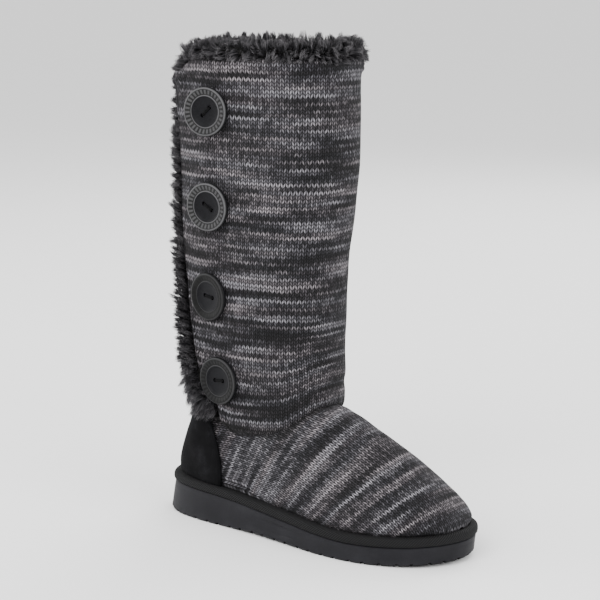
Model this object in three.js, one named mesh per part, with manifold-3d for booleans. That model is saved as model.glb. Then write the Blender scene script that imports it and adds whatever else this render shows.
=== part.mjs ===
// A tall knitted winter boot for the right foot, standing empty on its sole.
// A rubber unit sole carries a taped seam, a hollow knitted upper with an overlapping side flap,
// a suede heel counter, a strip of deep fur behind the flap, a fur collar and four large buttons.
// Millimetres, +X towards the toe, +Y towards the inner side of the foot, +Z up.

import * as THREE from 'three';
import { mergeVertices } from 'three/addons/utils/BufferGeometryUtils.js';
import Module from 'manifold-3d';

const wasm = await Module();
wasm.setup();

// Driving sizes of the sole
const SOLE_LENGTH = 265.5;
const BALL_WIDTH = 97;
const HEEL_THICKNESS = 23;
const FOREFOOT_THICKNESS = 14;
const TOE_SPRING = 3.2;
const ARCH_RISE = 1.2;
const HEEL_BEVEL = 2.6;
const HEEL_FLARE = 3.2;
const TOE_TUCK = 1.4;
const SOLE_EDGE_ROUND = 1.5;
const SIDE_PANEL_DEPTH = 0.8;

// Tread
const NOTCH_SPACING = 11.8;
const NOTCH_WIDTH = 2.6;
const NOTCH_HEIGHT = 2;
const NOTCH_REACH = 4;
const GROOVE_WIDTH = 3.4;
const GROOVE_DEPTH = 2.2;
const GROOVE_MARGIN = 13;
const GROOVE_SPACING = 15;

// Tape bound round the seam between sole and upper
const TAPE_HEIGHT = 6.6;
const TAPE_PROUD = 1.1;
const FEATHER_INSET = 5.2;
const HEEL_SEAT_INSET = 2.6;

// Upper
const WALL = 2.5;
const INSTEP_HEIGHT = 98;
const COLLAR_HEIGHT = 352.5;
const SHAFT_DEPTH = 138;
const SHAFT_WIDTH = 93;
const FLAP_STEP = 3.5;
const FLAP_FADE = 70;
const FLAP_LAP = 28;
const FLAP_CORNER_DROP = 11;
const FLAP_CORNER_REACH = 42;
const HEM_HEIGHT = 11;
const HEM_BULGE = 2.3;
const SEAM_TUCK = 3;
const SEAM_TUCK_HEIGHT = 8;

// Heel counter
const COUNTER_THICKNESS = 1.5;
const COUNTER_TOP = 80;
const COUNTER_FRONT_FOOT = -64;
const COUNTER_FRONT_TOP = -74;
const COUNTER_FRONT_BOW = 8;

// Fur
const COLLAR_FUR_RISE = 9;
const COLLAR_FUR_DEPTH = 42;
const COLLAR_FUR_THICKNESS = 11;
const COLLAR_LOCKS = 26;
const TRIM_WIDTH = 22;
const TRIM_THICKNESS = 8.5;
const TRIM_LOCK_ROWS = 13;
const LOCK_LENGTH = 7;
const LOCK_RADIUS = 5.4;

// Buttons
const BUTTON_DIAMETER = 36;
const BUTTON_THICKNESS = 5.2;
const BUTTON_HOLE_DIAMETER = 3.4;
const BUTTON_HOLE_SPACING = 8;
const LEAN_LIFT = 0.36;
const INSOLE_THICKNESS = 4;

// Gap kept between neighbouring pieces
const GAP = 0.3;

// Outline of the sole on the floor: place along the length, reach to the outer and the inner side
// as shares of the ball width
const OUTLINE = [
  { along: 0.012, outer: 0.124, inner: 0.124 },
  { along: 0.04, outer: 0.237, inner: 0.237 },
  { along: 0.09, outer: 0.325, inner: 0.32 },
  { along: 0.17, outer: 0.376, inner: 0.366 },
  { along: 0.3, outer: 0.402, inner: 0.351 },
  { along: 0.42, outer: 0.433, inner: 0.351 },
  { along: 0.55, outer: 0.474, inner: 0.392 },
  { along: 0.66, outer: 0.505, inner: 0.459 },
  { along: 0.76, outer: 0.495, inner: 0.49 },
  { along: 0.85, outer: 0.433, inner: 0.464 },
  { along: 0.92, outer: 0.335, inner: 0.392 },
  { along: 0.97, outer: 0.201, inner: 0.278 },
  { along: 0.992, outer: 0.082, inner: 0.17 },
];
const TOE_TIP_SIDE = 0.041;

// Side profile of the sole: thickness between the forefoot's (0) and the heel's (1), rise of the
// underside as shares of toe spring, arch and heel bevel
const SOLE_PROFILE = [
  { along: 0, thickness: 1, spring: 0, arch: 0, bevel: 1 },
  { along: 0.07, thickness: 1, spring: 0, arch: 0, bevel: 0 },
  { along: 0.25, thickness: 0.9, spring: 0, arch: 0, bevel: 0 },
  { along: 0.4, thickness: 0.65, spring: 0, arch: 1, bevel: 0 },
  { along: 0.55, thickness: 0.33, spring: 0, arch: 0.4, bevel: 0 },
  { along: 0.64, thickness: 0.13, spring: 0, arch: 0, bevel: 0 },
  { along: 0.75, thickness: 0, spring: 0, arch: 0, bevel: 0 },
  { along: 0.88, thickness: 0, spring: 0.3, arch: 0, bevel: 0 },
  { along: 1, thickness: 0, spring: 1, arch: 0, bevel: 0 },
];

// Sections of the foot, leaning forward from the seam to the crown: place at the seam as a share
// of its length, place of the crown as a share of the sole's length, height of the crown as a
// share of the rise from the tape to the instep, squareness and bulge of the side
const FOOT = [
  { seam: 0, crown: 0.044, rise: 0.01, square: 2.2, bulge: 0 },
  { seam: 0.006, crown: 0.045, rise: 0.1, square: 2.2, bulge: 0 },
  { seam: 0.02, crown: 0.051, rise: 0.22, square: 2.3, bulge: 0.01 },
  { seam: 0.047, crown: 0.069, rise: 0.37, square: 2.4, bulge: 0.02 },
  { seam: 0.083, crown: 0.09, rise: 0.53, square: 2.6, bulge: 0.04 },
  { seam: 0.13, crown: 0.113, rise: 0.69, square: 3, bulge: 0.06 },
  { seam: 0.186, crown: 0.14, rise: 0.85, square: 3.8, bulge: 0.09 },
  { seam: 0.257, crown: 0.22, rise: 0.98, square: 5, bulge: 0.11 },
  { seam: 0.316, crown: 0.43, rise: 1.01, square: 4.6, bulge: 0.11 },
  { seam: 0.375, crown: 0.579, rise: 1, square: 3.2, bulge: 0.08 },
  { seam: 0.43, crown: 0.635, rise: 0.955, square: 2.6, bulge: 0.06 },
  { seam: 0.482, crown: 0.688, rise: 0.885, square: 2.3, bulge: 0.05 },
  { seam: 0.573, crown: 0.771, rise: 0.745, square: 2.1, bulge: 0.03 },
  { seam: 0.676, crown: 0.855, rise: 0.56, square: 2.1, bulge: 0.02 },
  { seam: 0.771, crown: 0.908, rise: 0.405, square: 2.2, bulge: 0.01 },
  { seam: 0.85, crown: 0.94, rise: 0.295, square: 2.2, bulge: 0 },
  { seam: 0.921, crown: 0.964, rise: 0.18, square: 2.3, bulge: 0 },
  { seam: 0.964, crown: 0.977, rise: 0.1, square: 2.3, bulge: 0 },
  { seam: 0.988, crown: 0.982, rise: 0.04, square: 2.3, bulge: 0 },
  { seam: 1, crown: 0.983, rise: 0.01, square: 2.3, bulge: 0 },
];

// Level sections of the shaft: height as a share of the way from instep to collar, centre as a
// share of the sole's length, depth and width as shares of the shaft's
const SHAFT = [
  { up: -0.16, centre: -0.159, depth: 0.86, width: 0.86, square: 2.4 },
  { up: -0.055, centre: -0.16, depth: 0.87, width: 0.88, square: 2.4 },
  { up: 0, centre: -0.158, depth: 0.868, width: 0.914, square: 2.4 },
  { up: 0.05, centre: -0.16, depth: 0.888, width: 0.925, square: 2.4 },
  { up: 0.156, centre: -0.164, depth: 0.886, width: 0.935, square: 2.4 },
  { up: 0.292, centre: -0.164, depth: 0.9, width: 0.946, square: 2.45 },
  { up: 0.44, centre: -0.161, depth: 0.926, width: 0.968, square: 2.5 },
  { up: 0.58, centre: -0.154, depth: 0.959, width: 0.99, square: 2.6 },
  { up: 0.7, centre: -0.149, depth: 0.972, width: 1, square: 2.7 },
  { up: 0.89, centre: -0.148, depth: 0.982, width: 1, square: 2.7 },
  { up: 1.03, centre: -0.148, depth: 0.982, width: 1, square: 2.7 },
];

// Height of the seam between shaft and foot, as a share of the instep height, by the angle from
// the front
const ANKLE_SEAM = [
  { angle: 0, up: 0.985 },
  { angle: 21, up: 0.965 },
  { angle: 40, up: 0.885 },
  { angle: 57, up: 0.82 },
  { angle: 90, up: 0.796 },
  { angle: 104, up: 0.83 },
  { angle: 140, up: 0.865 },
  { angle: 180, up: 0.875 },
];

// Angle of the flap's free edge round the shaft, by height between instep and collar
const FLAP_EDGE = [
  { up: -0.1, angle: -101 },
  { up: 0, angle: -103 },
  { up: 0.035, angle: -114 },
  { up: 0.085, angle: -122 },
  { up: 0.215, angle: -133 },
  { up: 0.35, angle: -142 },
  { up: 0.54, angle: -149 },
  { up: 0.75, angle: -150 },
  { up: 1.05, angle: -152 },
];

// Buttons from the top: height between instep and collar, angle round the shaft, lean towards
// the toe and turn of the holes, in degrees
const BUTTONS = [
  { up: 0.85, angle: -101, lean: 14, turn: 45 },
  { up: 0.578, angle: -101, lean: 9, turn: -32 },
  { up: 0.313, angle: -103.5, lean: 0, turn: -8 },
  { up: 0.068, angle: -97.5, lean: 0, turn: 3 },
];

// Fineness of the facets
const OUTLINE_STEPS = 72;
const FOOT_STEPS = 28;
const FOOT_ARC = 14;
const SHAFT_AROUND = 44;
const SHAFT_ROWS = 11;
const BUTTON_SIDES = 18;
const HOLE_SIDES = 6;

const MATERIALS = {
  rubber: new THREE.MeshStandardMaterial({ color: 0x44464b, roughness: 0.72, metalness: 0 }),
  tape: new THREE.MeshStandardMaterial({ color: 0x26262a, roughness: 0.9, metalness: 0 }),
  felt: new THREE.MeshStandardMaterial({ color: 0x3a3836, roughness: 0.95, metalness: 0 }),
  knit: new THREE.MeshStandardMaterial({ color: 0x4a474b, roughness: 0.95, metalness: 0 }),
  suede: new THREE.MeshStandardMaterial({ color: 0x1e1e21, roughness: 0.9, metalness: 0 }),
  fur: new THREE.MeshStandardMaterial({ color: 0x1d1c1d, roughness: 0.85, metalness: 0 }),
  button: new THREE.MeshStandardMaterial({ color: 0x35353a, roughness: 0.45, metalness: 0 }),
};

// Value of a table's column at a place, on a smooth curve that never overshoots its rows
function follow(rows, place, column, at) {
  const last = rows.length - 1;
  if (at <= rows[0][place]) {
    return rows[0][column];
  }
  if (at >= rows[last][place]) {
    return rows[last][column];
  }
  const slope = (i) => (rows[i + 1][column] - rows[i][column]) / (rows[i + 1][place] - rows[i][place]);
  const tangent = (i) => {
    if (i === 0 || i === last) {
      return slope(i === 0 ? 0 : last - 1);
    }
    const before = slope(i - 1);
    const after = slope(i);
    return before * after <= 0 ? 0 : (2 * before * after) / (before + after);
  };
  let i = 0;
  while (rows[i + 1][place] < at) {
    i += 1;
  }
  const span = rows[i + 1][place] - rows[i][place];
  const t = (at - rows[i][place]) / span;
  const rise = rows[i + 1][column] - rows[i][column];
  const bend = tangent(i) * span - rise;
  const counter = rise - tangent(i + 1) * span;
  return rows[i][column] + rise * t + t * (1 - t) * ((1 - t) * bend + t * counter);
}

const smooth = (t) => {
  const s = Math.min(1, Math.max(0, t));
  return s * s * (3 - 2 * s);
};

const mix = (a, b, t) => a + (b - a) * t;
const radians = (degrees) => (degrees * Math.PI) / 180;
const UP = new THREE.Vector3(0, 0, 1);

// Closed triangle solids and back again
function toSolid(geometry) {
  const bare = geometry.clone();
  bare.deleteAttribute('normal');
  bare.deleteAttribute('uv');
  const merged = mergeVertices(bare, 1e-5);
  const vertProperties = Float32Array.from(merged.attributes.position.array);
  const triVerts = Uint32Array.from(merged.index.array);
  return new wasm.Manifold(new wasm.Mesh({ numProp: 3, vertProperties, triVerts }));
}

function toGeometry(solid) {
  const mesh = solid.getMesh();
  const geometry = new THREE.BufferGeometry();
  geometry.setAttribute('position', new THREE.BufferAttribute(mesh.vertProperties, 3));
  geometry.setIndex(new THREE.BufferAttribute(mesh.triVerts, 1));
  return geometry;
}

// Solid through rings of equally many points. Each ring runs against the clock seen from the end
// of the loft. The ends are closed by a fan round their middle, or across from side to side where
// a ring starts at the heel and turns back at the toe.
function loft(rings, across = false) {
  const around = rings[0].length;
  const points = rings.flat();
  const index = [];
  for (let r = 0; r < rings.length - 1; r += 1) {
    for (let p = 0; p < around; p += 1) {
      const a = r * around + p;
      const b = r * around + ((p + 1) % around);
      index.push(a, b, b + around, a, b + around, a + around);
    }
  }
  const end = (start, flip) => {
    const face = (a, b, c) => index.push(...(flip ? [c, b, a] : [a, b, c]));
    if (across) {
      for (let p = 0; p < around / 2; p += 1) {
        const [a, b] = [start + p, start + p + 1];
        const [c, d] = [start + ((around - p - 1) % around), start + ((around - p) % around)];
        if (b !== c) {
          face(a, b, c);
        }
        if (a !== d) {
          face(a, c, d);
        }
      }
      return;
    }
    const middle = new THREE.Vector3();
    points.slice(start, start + around).forEach((point) => middle.add(point));
    points.push(middle.divideScalar(around));
    const hub = points.length - 1;
    for (let p = 0; p < around; p += 1) {
      face(hub, start + p, start + ((p + 1) % around));
    }
  };
  end(0, true);
  end((rings.length - 1) * around, false);
  const geometry = new THREE.BufferGeometry().setFromPoints(points);
  geometry.setIndex(index);
  return geometry;
}

// Ring-shaped solid through closed sections that follow one another round a loop
function loopLoft(sections) {
  const around = sections[0].length;
  const index = [];
  for (let s = 0; s < sections.length; s += 1) {
    const next = (s + 1) % sections.length;
    for (let p = 0; p < around; p += 1) {
      const q = (p + 1) % around;
      const [a, b] = [s * around + p, s * around + q];
      const [c, d] = [next * around + q, next * around + p];
      index.push(a, b, c, a, c, d);
    }
  }
  const geometry = new THREE.BufferGeometry().setFromPoints(sections.flat());
  geometry.setIndex(index);
  return geometry;
}

// The sole's outline on the floor, evenly spaced, heel tip first and along the outer side
function soleOutline() {
  const x = (along) => (along - 0.5) * SOLE_LENGTH;
  const outer = OUTLINE.map((row) => new THREE.Vector3(x(row.along), -row.outer * BALL_WIDTH, 0));
  const inner = OUTLINE.map((row) => new THREE.Vector3(x(row.along), row.inner * BALL_WIDTH, 0));
  const heel = new THREE.Vector3(x(0), 0, 0);
  const toe = new THREE.Vector3(x(1), TOE_TIP_SIDE * BALL_WIDTH, 0);
  const curve = new THREE.CatmullRomCurve3([heel, ...outer, toe, ...inner.reverse()], true);
  curve.arcLengthDivisions = 800;
  return curve.getSpacedPoints(OUTLINE_STEPS * 4).slice(0, -1);
}

const DENSE_OUTLINE = soleOutline();

const alongSole = (x) => x / SOLE_LENGTH + 0.5;
const soleColumn = (column, x) => follow(SOLE_PROFILE, 'along', column, alongSole(x));
const soleUnder = (x) => soleColumn('spring', x) * TOE_SPRING + soleColumn('arch', x) * ARCH_RISE
  + soleColumn('bevel', x) * HEEL_BEVEL;
const soleTop = (x) => mix(FOREFOOT_THICKNESS, HEEL_THICKNESS, soleColumn('thickness', x))
  + soleColumn('spring', x) * TOE_SPRING;
const soleFlare = (x) => mix(-HEEL_FLARE, TOE_TUCK, smooth(alongSole(x) * 1.25 - 0.1));

// The outline moved outwards by a distance, which may change along the sole
function offsetOutline(distance) {
  const count = DENSE_OUTLINE.length;
  return DENSE_OUTLINE.map((point, i) => {
    const ahead = DENSE_OUTLINE[(i + 1) % count];
    const behind = DENSE_OUTLINE[(i + count - 1) % count];
    const run = ahead.clone().sub(behind).normalize();
    const reach = distance(point.x);
    return new THREE.Vector3(point.x + run.y * reach, point.y - run.x * reach, 0);
  });
}

const thin = (points, keep) => points.filter((_, i) => i % keep === 0);

// The upper's outline at the sole: the sole's top edge moved in by the seam's inset
const featherOutline = (grow) => offsetOutline((x) => {
  const heelSeat = HEEL_SEAT_INSET * smooth((0.22 - alongSole(x)) * 6);
  return soleFlare(x) - FEATHER_INSET - heelSeat + grow;
});

// Reach of an outline to the outer and the inner side at a place along the foot
function sidesAt(outline, x) {
  const reach = [0, 0];
  for (let i = 0; i < outline.length; i += 1) {
    const a = outline[i];
    const b = outline[(i + 1) % outline.length];
    if ((a.x <= x) !== (b.x <= x)) {
      const y = mix(a.y, b.y, (x - a.x) / (b.x - a.x));
      reach[b.x > a.x ? 0 : 1] = y;
    }
  }
  return reach;
}

const featherZ = (x) => soleTop(x) + GAP;
const tapeTopZ = (x) => featherZ(x) + TAPE_HEIGHT;

// Leaning sections of the foot, grown outwards by a distance. Each ring is closed under the foot,
// a little lower where it has to cut the upper open.
function footSolid(grow, lower, steps, arc) {
  const outline = featherOutline(grow);
  const xs = outline.map((point) => point.x);
  const [heel, toe] = [Math.min(...xs), Math.max(...xs)];
  const crownAt = (share) => new THREE.Vector2(
    (follow(FOOT, 'seam', 'crown', share) - 0.5) * SOLE_LENGTH,
    mix(tapeTopZ(mix(heel, toe, share)), INSTEP_HEIGHT, follow(FOOT, 'seam', 'rise', share)),
  );
  const rings = [];
  for (let s = 0; s <= steps; s += 1) {
    const station = mix(0.014, 0.986, s / steps);
    const share = (1 - Math.cos(Math.PI * station)) / 2;
    const x = mix(heel, toe, share);
    const [outer, inner] = sidesAt(outline, x);
    const run = crownAt(share + 0.002).sub(crownAt(share - 0.002)).normalize();
    const crown = crownAt(share).add(new THREE.Vector2(-run.y, run.x).multiplyScalar(grow));
    const power = 2 / follow(FOOT, 'seam', 'square', share);
    const bulge = follow(FOOT, 'seam', 'bulge', share);
    const base = tapeTopZ(x);
    const middle = (outer + inner) / 2;
    const half = (inner - outer) / 2;
    const ring = [];
    for (let a = 0; a <= arc; a += 1) {
      const angle = (Math.PI * a) / arc;
      const side = -Math.sign(Math.cos(angle)) * Math.abs(Math.cos(angle)) ** power;
      const up = Math.sin(angle) ** power;
      const swell = 1 + bulge * 4 * up * (1 - up);
      const y = middle + half * side * swell;
      ring.push(new THREE.Vector3(mix(x, crown.x, up), y, mix(base, crown.y, up)));
    }
    ring.push(new THREE.Vector3(x, inner, featherZ(x) - lower));
    ring.push(new THREE.Vector3(x, outer, featherZ(x) - lower));
    rings.push(ring.reverse());
  }
  return toSolid(loft(rings));
}

const shaftColumn = (column, z) => follow(SHAFT, 'up', column, shaftShare(z));
const shaftShare = (z) => (z - INSTEP_HEIGHT) / (COLLAR_HEIGHT - INSTEP_HEIGHT);
const shaftZ = (share) => mix(INSTEP_HEIGHT, COLLAR_HEIGHT, share);
const edgeAngle = (z) => follow(FLAP_EDGE, 'up', 'angle', shaftShare(z));
const seamZ = (degrees) => {
  const turn = Math.abs(((degrees + 540) % 360) - 180);
  return follow(ANKLE_SEAM, 'angle', 'up', turn) * INSTEP_HEIGHT;
};

// Point of the shaft at a height and an angle from the front, moved inwards by a distance
function shaftPoint(z, degrees, inset) {
  const power = 2 / shaftColumn('square', z);
  const angle = radians(degrees);
  const deep = (shaftColumn('depth', z) * SHAFT_DEPTH) / 2 - inset;
  const wide = (shaftColumn('width', z) * SHAFT_WIDTH) / 2 - inset;
  const centre = shaftColumn('centre', z) * SOLE_LENGTH;
  const forward = Math.sign(Math.cos(angle)) * Math.abs(Math.cos(angle)) ** power;
  const sideways = Math.sign(Math.sin(angle)) * Math.abs(Math.sin(angle)) ** power;
  return new THREE.Vector3(centre + deep * forward, wide * sideways, z);
}

const SHAFT_GIRTH = Math.PI * Math.sqrt((SHAFT_DEPTH ** 2 + SHAFT_WIDTH ** 2) / 2);

// How far the surface sinks behind the flap's edge, and how far the wall thickens under it
const sunkBehind = (turn) => FLAP_STEP * (1 - smooth(((1 - turn) * SHAFT_GIRTH) / FLAP_FADE));
const lapUnder = (turn) => FLAP_STEP * (1 - smooth((turn * SHAFT_GIRTH) / FLAP_LAP));
const collarTop = (turn) => {
  const away = Math.min(turn, 1 - turn) * SHAFT_GIRTH;
  return COLLAR_HEIGHT - FLAP_CORNER_DROP * (1 - smooth(away / FLAP_CORNER_REACH));
};

// Outer surface of the shaft. A level is a height over the ankle seam, or below the collar's top,
// or a share of the way between.
function shaftRing(level, around, inset, lap) {
  const ring = [];
  for (let p = 0; p <= around; p += 1) {
    const turn = p / around;
    const top = collarTop(turn);
    let z = mix(INSTEP_HEIGHT, top, Math.min(1, level.share ?? 0));
    for (let pass = 0; pass < 4; pass += 1) {
      const seam = seamZ(edgeAngle(z) + turn * 360);
      const low = seam + SEAM_TUCK_HEIGHT;
      const high = top - HEM_HEIGHT - 2;
      if (level.over !== undefined) {
        z = seam + level.over;
      } else if (level.below !== undefined) {
        z = top - level.below;
      } else {
        z = mix(low, high, level.share);
      }
    }
    const sunk = lap ? Math.max(sunkBehind(turn), lapUnder(turn)) : sunkBehind(turn);
    ring.push(shaftPoint(z, edgeAngle(z) + turn * 360, inset + sunk + level.inset));
  }
  return ring;
}

// Levels from the hidden foot of the shaft up to the folded hem
function shaftLevels(steps) {
  const levels = [
    { over: -7, inset: SEAM_TUCK * 3 },
    { over: 0, inset: SEAM_TUCK },
    { over: SEAM_TUCK_HEIGHT * 0.3, inset: SEAM_TUCK * 0.4 },
    { over: SEAM_TUCK_HEIGHT * 0.65, inset: SEAM_TUCK * 0.08 },
  ];
  for (let s = 0; s <= steps; s += 1) {
    levels.push({ share: (s / steps) ** 1.5, inset: 0 });
  }
  return levels;
}

function shaftOuter(grow) {
  const levels = [
    ...shaftLevels(SHAFT_ROWS),
    { below: HEM_HEIGHT, inset: -0.2 * HEM_BULGE },
    { below: HEM_HEIGHT * 0.8, inset: -0.85 * HEM_BULGE },
    { below: HEM_HEIGHT * 0.45, inset: -HEM_BULGE },
    { below: HEM_HEIGHT * 0.15, inset: -0.7 * HEM_BULGE },
    { below: -grow, inset: 0.6 },
  ];
  return toSolid(loft(levels.map((level) => shaftRing(level, SHAFT_AROUND, -grow, false))));
}

function shaftInner(inset) {
  const levels = [...shaftLevels(7), { below: 0, inset: 0 }, { below: -6, inset: 0 }];
  return toSolid(loft(levels.map((level) => shaftRing(level, SHAFT_AROUND * 0.75, inset, true))));
}

const largest = (solid) => solid.decompose().sort((a, b) => b.volume() - a.volume())[0];

function upper() {
  const outside = footSolid(0, 0, FOOT_STEPS, FOOT_ARC).add(shaftOuter(0));
  const inside = footSolid(-WALL, 4, FOOT_STEPS - 10, FOOT_ARC - 2).add(shaftInner(WALL));
  return toGeometry(outside.subtract(inside));
}

// Block between two heights under or over a wavy line of the sole
function block(x0, x1, y0, y1, z0, z1) {
  const box = new THREE.BoxGeometry(x1 - x0, y1 - y0, z1 - z0);
  box.translate((x0 + x1) / 2, (y0 + y1) / 2, (z0 + z1) / 2);
  return toSolid(box);
}

// Level ring of the sole's outline, moved outwards and lifted to a height between its faces
function soleRing(outward, height) {
  const points = thin(offsetOutline(outward), 4);
  return points.map((point) => new THREE.Vector3(point.x, point.y, height(point.x)));
}

function outsole() {
  const between = (share) => (x) => mix(soleUnder(x), soleTop(x), share);
  const flare = (share) => (x) => soleFlare(x) * share;
  const round = SOLE_EDGE_ROUND;
  const inPanel = (x) => smooth((alongSole(x) - 0.37) * 30) * smooth((0.6 - alongSole(x)) * 30);
  const body = toSolid(loft([
    soleRing(() => -round, soleUnder),
    soleRing(flare(0.05), (x) => soleUnder(x) + round),
    soleRing(flare(0.3), between(0.3)),
    soleRing((x) => flare(0.36)(x) - SIDE_PANEL_DEPTH * inPanel(x), between(0.36)),
    soleRing((x) => flare(0.72)(x) - SIDE_PANEL_DEPTH * inPanel(x), between(0.72)),
    soleRing(flare(0.78), between(0.78)),
    soleRing(flare(1), (x) => soleTop(x) - 0.8),
    soleRing((x) => flare(1)(x) - 0.8, soleTop),
  ], true));
  return toGeometry(body.subtract(treadCuts()));
}

// Notches all round the bottom edge, and grooves across the forefoot and the heel
function treadCuts() {
  const outline = DENSE_OUTLINE;
  const lengths = [0];
  for (let i = 0; i < outline.length; i += 1) {
    lengths.push(lengths[i] + outline[i].distanceTo(outline[(i + 1) % outline.length]));
  }
  const total = lengths[lengths.length - 1];
  const notches = Math.round(total / NOTCH_SPACING);
  const cuts = [];
  let i = 0;
  for (let n = 0; n < notches; n += 1) {
    const target = ((n + 0.5) / notches) * total;
    while (lengths[i + 1] < target) {
      i += 1;
    }
    const place = outline[i];
    const run = outline[(i + 1) % outline.length].clone().sub(place);
    const box = new THREE.BoxGeometry(NOTCH_WIDTH, NOTCH_REACH * 2, NOTCH_HEIGHT * 4);
    box.rotateZ(Math.atan2(run.y, run.x));
    box.translate(place.x, place.y, soleUnder(place.x) - NOTCH_HEIGHT);
    cuts.push(toSolid(box));
  }
  const grooves = (from, to) => {
    const count = Math.floor(((to - from) * SOLE_LENGTH) / GROOVE_SPACING);
    for (let g = 0; g <= count; g += 1) {
      const x = (mix(from, to, g / count) - 0.5) * SOLE_LENGTH;
      const [outer, inner] = sidesAt(outline, x);
      const deep = soleUnder(x) + GROOVE_DEPTH;
      const [y0, y1] = [outer + GROOVE_MARGIN, inner - GROOVE_MARGIN];
      cuts.push(block(x - GROOVE_WIDTH / 2, x + GROOVE_WIDTH / 2, y0, y1, -GROOVE_DEPTH, deep));
    }
  };
  grooves(0.09, 0.27);
  grooves(0.57, 0.9);
  return wasm.Manifold.union(cuts);
}

// Rounded band bound round the seam, standing a little proud of the sole's edge
function weltTape() {
  const outerEdge = thin(offsetOutline((x) => soleFlare(x) + TAPE_PROUD), 4);
  const innerEdge = thin(featherOutline(GAP * 1.5), 4);
  const section = [[0, 0], [0.85, 0], [1, 0.25], [0.98, 0.65], [0.75, 0.95], [0, 1]];
  const sections = outerEdge.map((far, i) => section.map(([out, up]) => {
    const near = innerEdge[i];
    const x = mix(near.x, far.x, out);
    const z = featherZ(near.x) + GAP + up * (TAPE_HEIGHT - GAP);
    return new THREE.Vector3(x, mix(near.y, far.y, out), z);
  }));
  return loopLoft(sections.reverse());
}

function insole() {
  const edge = thin(featherOutline(-WALL - GAP * 4), 6);
  const ring = (height) => edge.map((p) => new THREE.Vector3(p.x, p.y, soleTop(p.x) + height));
  return loft([ring(GAP), ring(GAP + INSOLE_THICKNESS)], true);
}

// Shell over the heel, cut between two larger forms of the foot by its side outline
function heelCounter() {
  const shell = footSolid(GAP + COUNTER_THICKNESS, 0, FOOT_STEPS, FOOT_ARC)
    .subtract(footSolid(GAP, 4, FOOT_STEPS, FOOT_ARC));
  const low = tapeTopZ(COUNTER_FRONT_FOOT);
  const heelLow = tapeTopZ(-SOLE_LENGTH / 2) + GAP;
  const outline = new THREE.Shape();
  outline.moveTo(-SOLE_LENGTH, heelLow);
  outline.lineTo(-SOLE_LENGTH / 2 + 20, heelLow);
  outline.lineTo(COUNTER_FRONT_FOOT, low + GAP + 0.2);
  const bow = COUNTER_FRONT_FOOT + COUNTER_FRONT_BOW;
  outline.quadraticCurveTo(bow, mix(low, COUNTER_TOP, 0.55), COUNTER_FRONT_TOP, COUNTER_TOP);
  outline.lineTo(-SOLE_LENGTH, COUNTER_TOP + 3);
  const side = new THREE.ExtrudeGeometry(outline, { depth: BALL_WIDTH * 2, bevelEnabled: false, curveSegments: 8 });
  side.rotateX(Math.PI / 2);
  side.translate(0, BALL_WIDTH, 0);
  const proudOfShaft = toSolid(loft(shaftLevels(3)
    .map((level) => shaftRing({ ...level, over: level.over ?? SEAM_TUCK_HEIGHT }, SHAFT_AROUND, -GAP, false))));
  return toGeometry(shell.intersect(toSolid(side)).subtract(proudOfShaft));
}

// A pointed lock of fur from a root towards a tip
function lock(root, tip, radius) {
  const cone = new THREE.ConeGeometry(radius, root.distanceTo(tip), 5, 1);
  const axis = tip.clone().sub(root).normalize();
  cone.applyQuaternion(new THREE.Quaternion().setFromUnitVectors(new THREE.Vector3(0, 1, 0), axis));
  const middle = root.clone().lerp(tip, 0.5);
  cone.translate(middle.x, middle.y, middle.z);
  return toSolid(cone);
}

// Even but irregular share between 0 and 1 for a numbered lock
const scatter = (number) => {
  const wave = Math.sin(number * 12.9898) * 43758.5453;
  return wave - Math.floor(wave);
};

// Fur lining that stands up out of the collar
function furCollar() {
  const level = (below, inset) => shaftRing({ below, inset }, SHAFT_AROUND * 0.75, WALL + GAP, true);
  const rings = [
    level(COLLAR_FUR_DEPTH, 0),
    level(HEM_HEIGHT, 0),
    level(-2, GAP),
    level(-COLLAR_FUR_RISE * 0.55, -2),
    level(-COLLAR_FUR_RISE * 0.85, 1.5),
    level(-COLLAR_FUR_RISE, COLLAR_FUR_THICKNESS * 0.45),
    level(-COLLAR_FUR_RISE * 0.7, COLLAR_FUR_THICKNESS * 0.85),
    level(0, COLLAR_FUR_THICKNESS),
    level(COLLAR_FUR_DEPTH, COLLAR_FUR_THICKNESS * 0.6),
  ];
  const count = rings[0].length;
  const sections = [];
  for (let p = 0; p < count; p += 1) {
    sections.push(rings.map((ring) => ring[p]));
  }
  const locks = [];
  for (let n = 0; n < COLLAR_LOCKS; n += 1) {
    const turn = (n + 0.5 * scatter(n)) / COLLAR_LOCKS;
    const p = Math.floor(turn * (count - 1));
    const root = rings[3][p].clone().lerp(rings[5][p], 0.5 + 0.3 * scatter(n + 7));
    root.z -= 4;
    const out = rings[3][p].clone().sub(rings[7][p]).setZ(0).normalize();
    const tip = root.clone().addScaledVector(out, 5 * (scatter(n + 3) - 0.35));
    tip.z += LOCK_LENGTH * (0.85 + 0.35 * scatter(n + 5));
    locks.push(lock(root, tip, LOCK_RADIUS));
  }
  return toGeometry(wasm.Manifold.union([toSolid(loopLoft(sections.reverse())), ...locks]));
}

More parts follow.
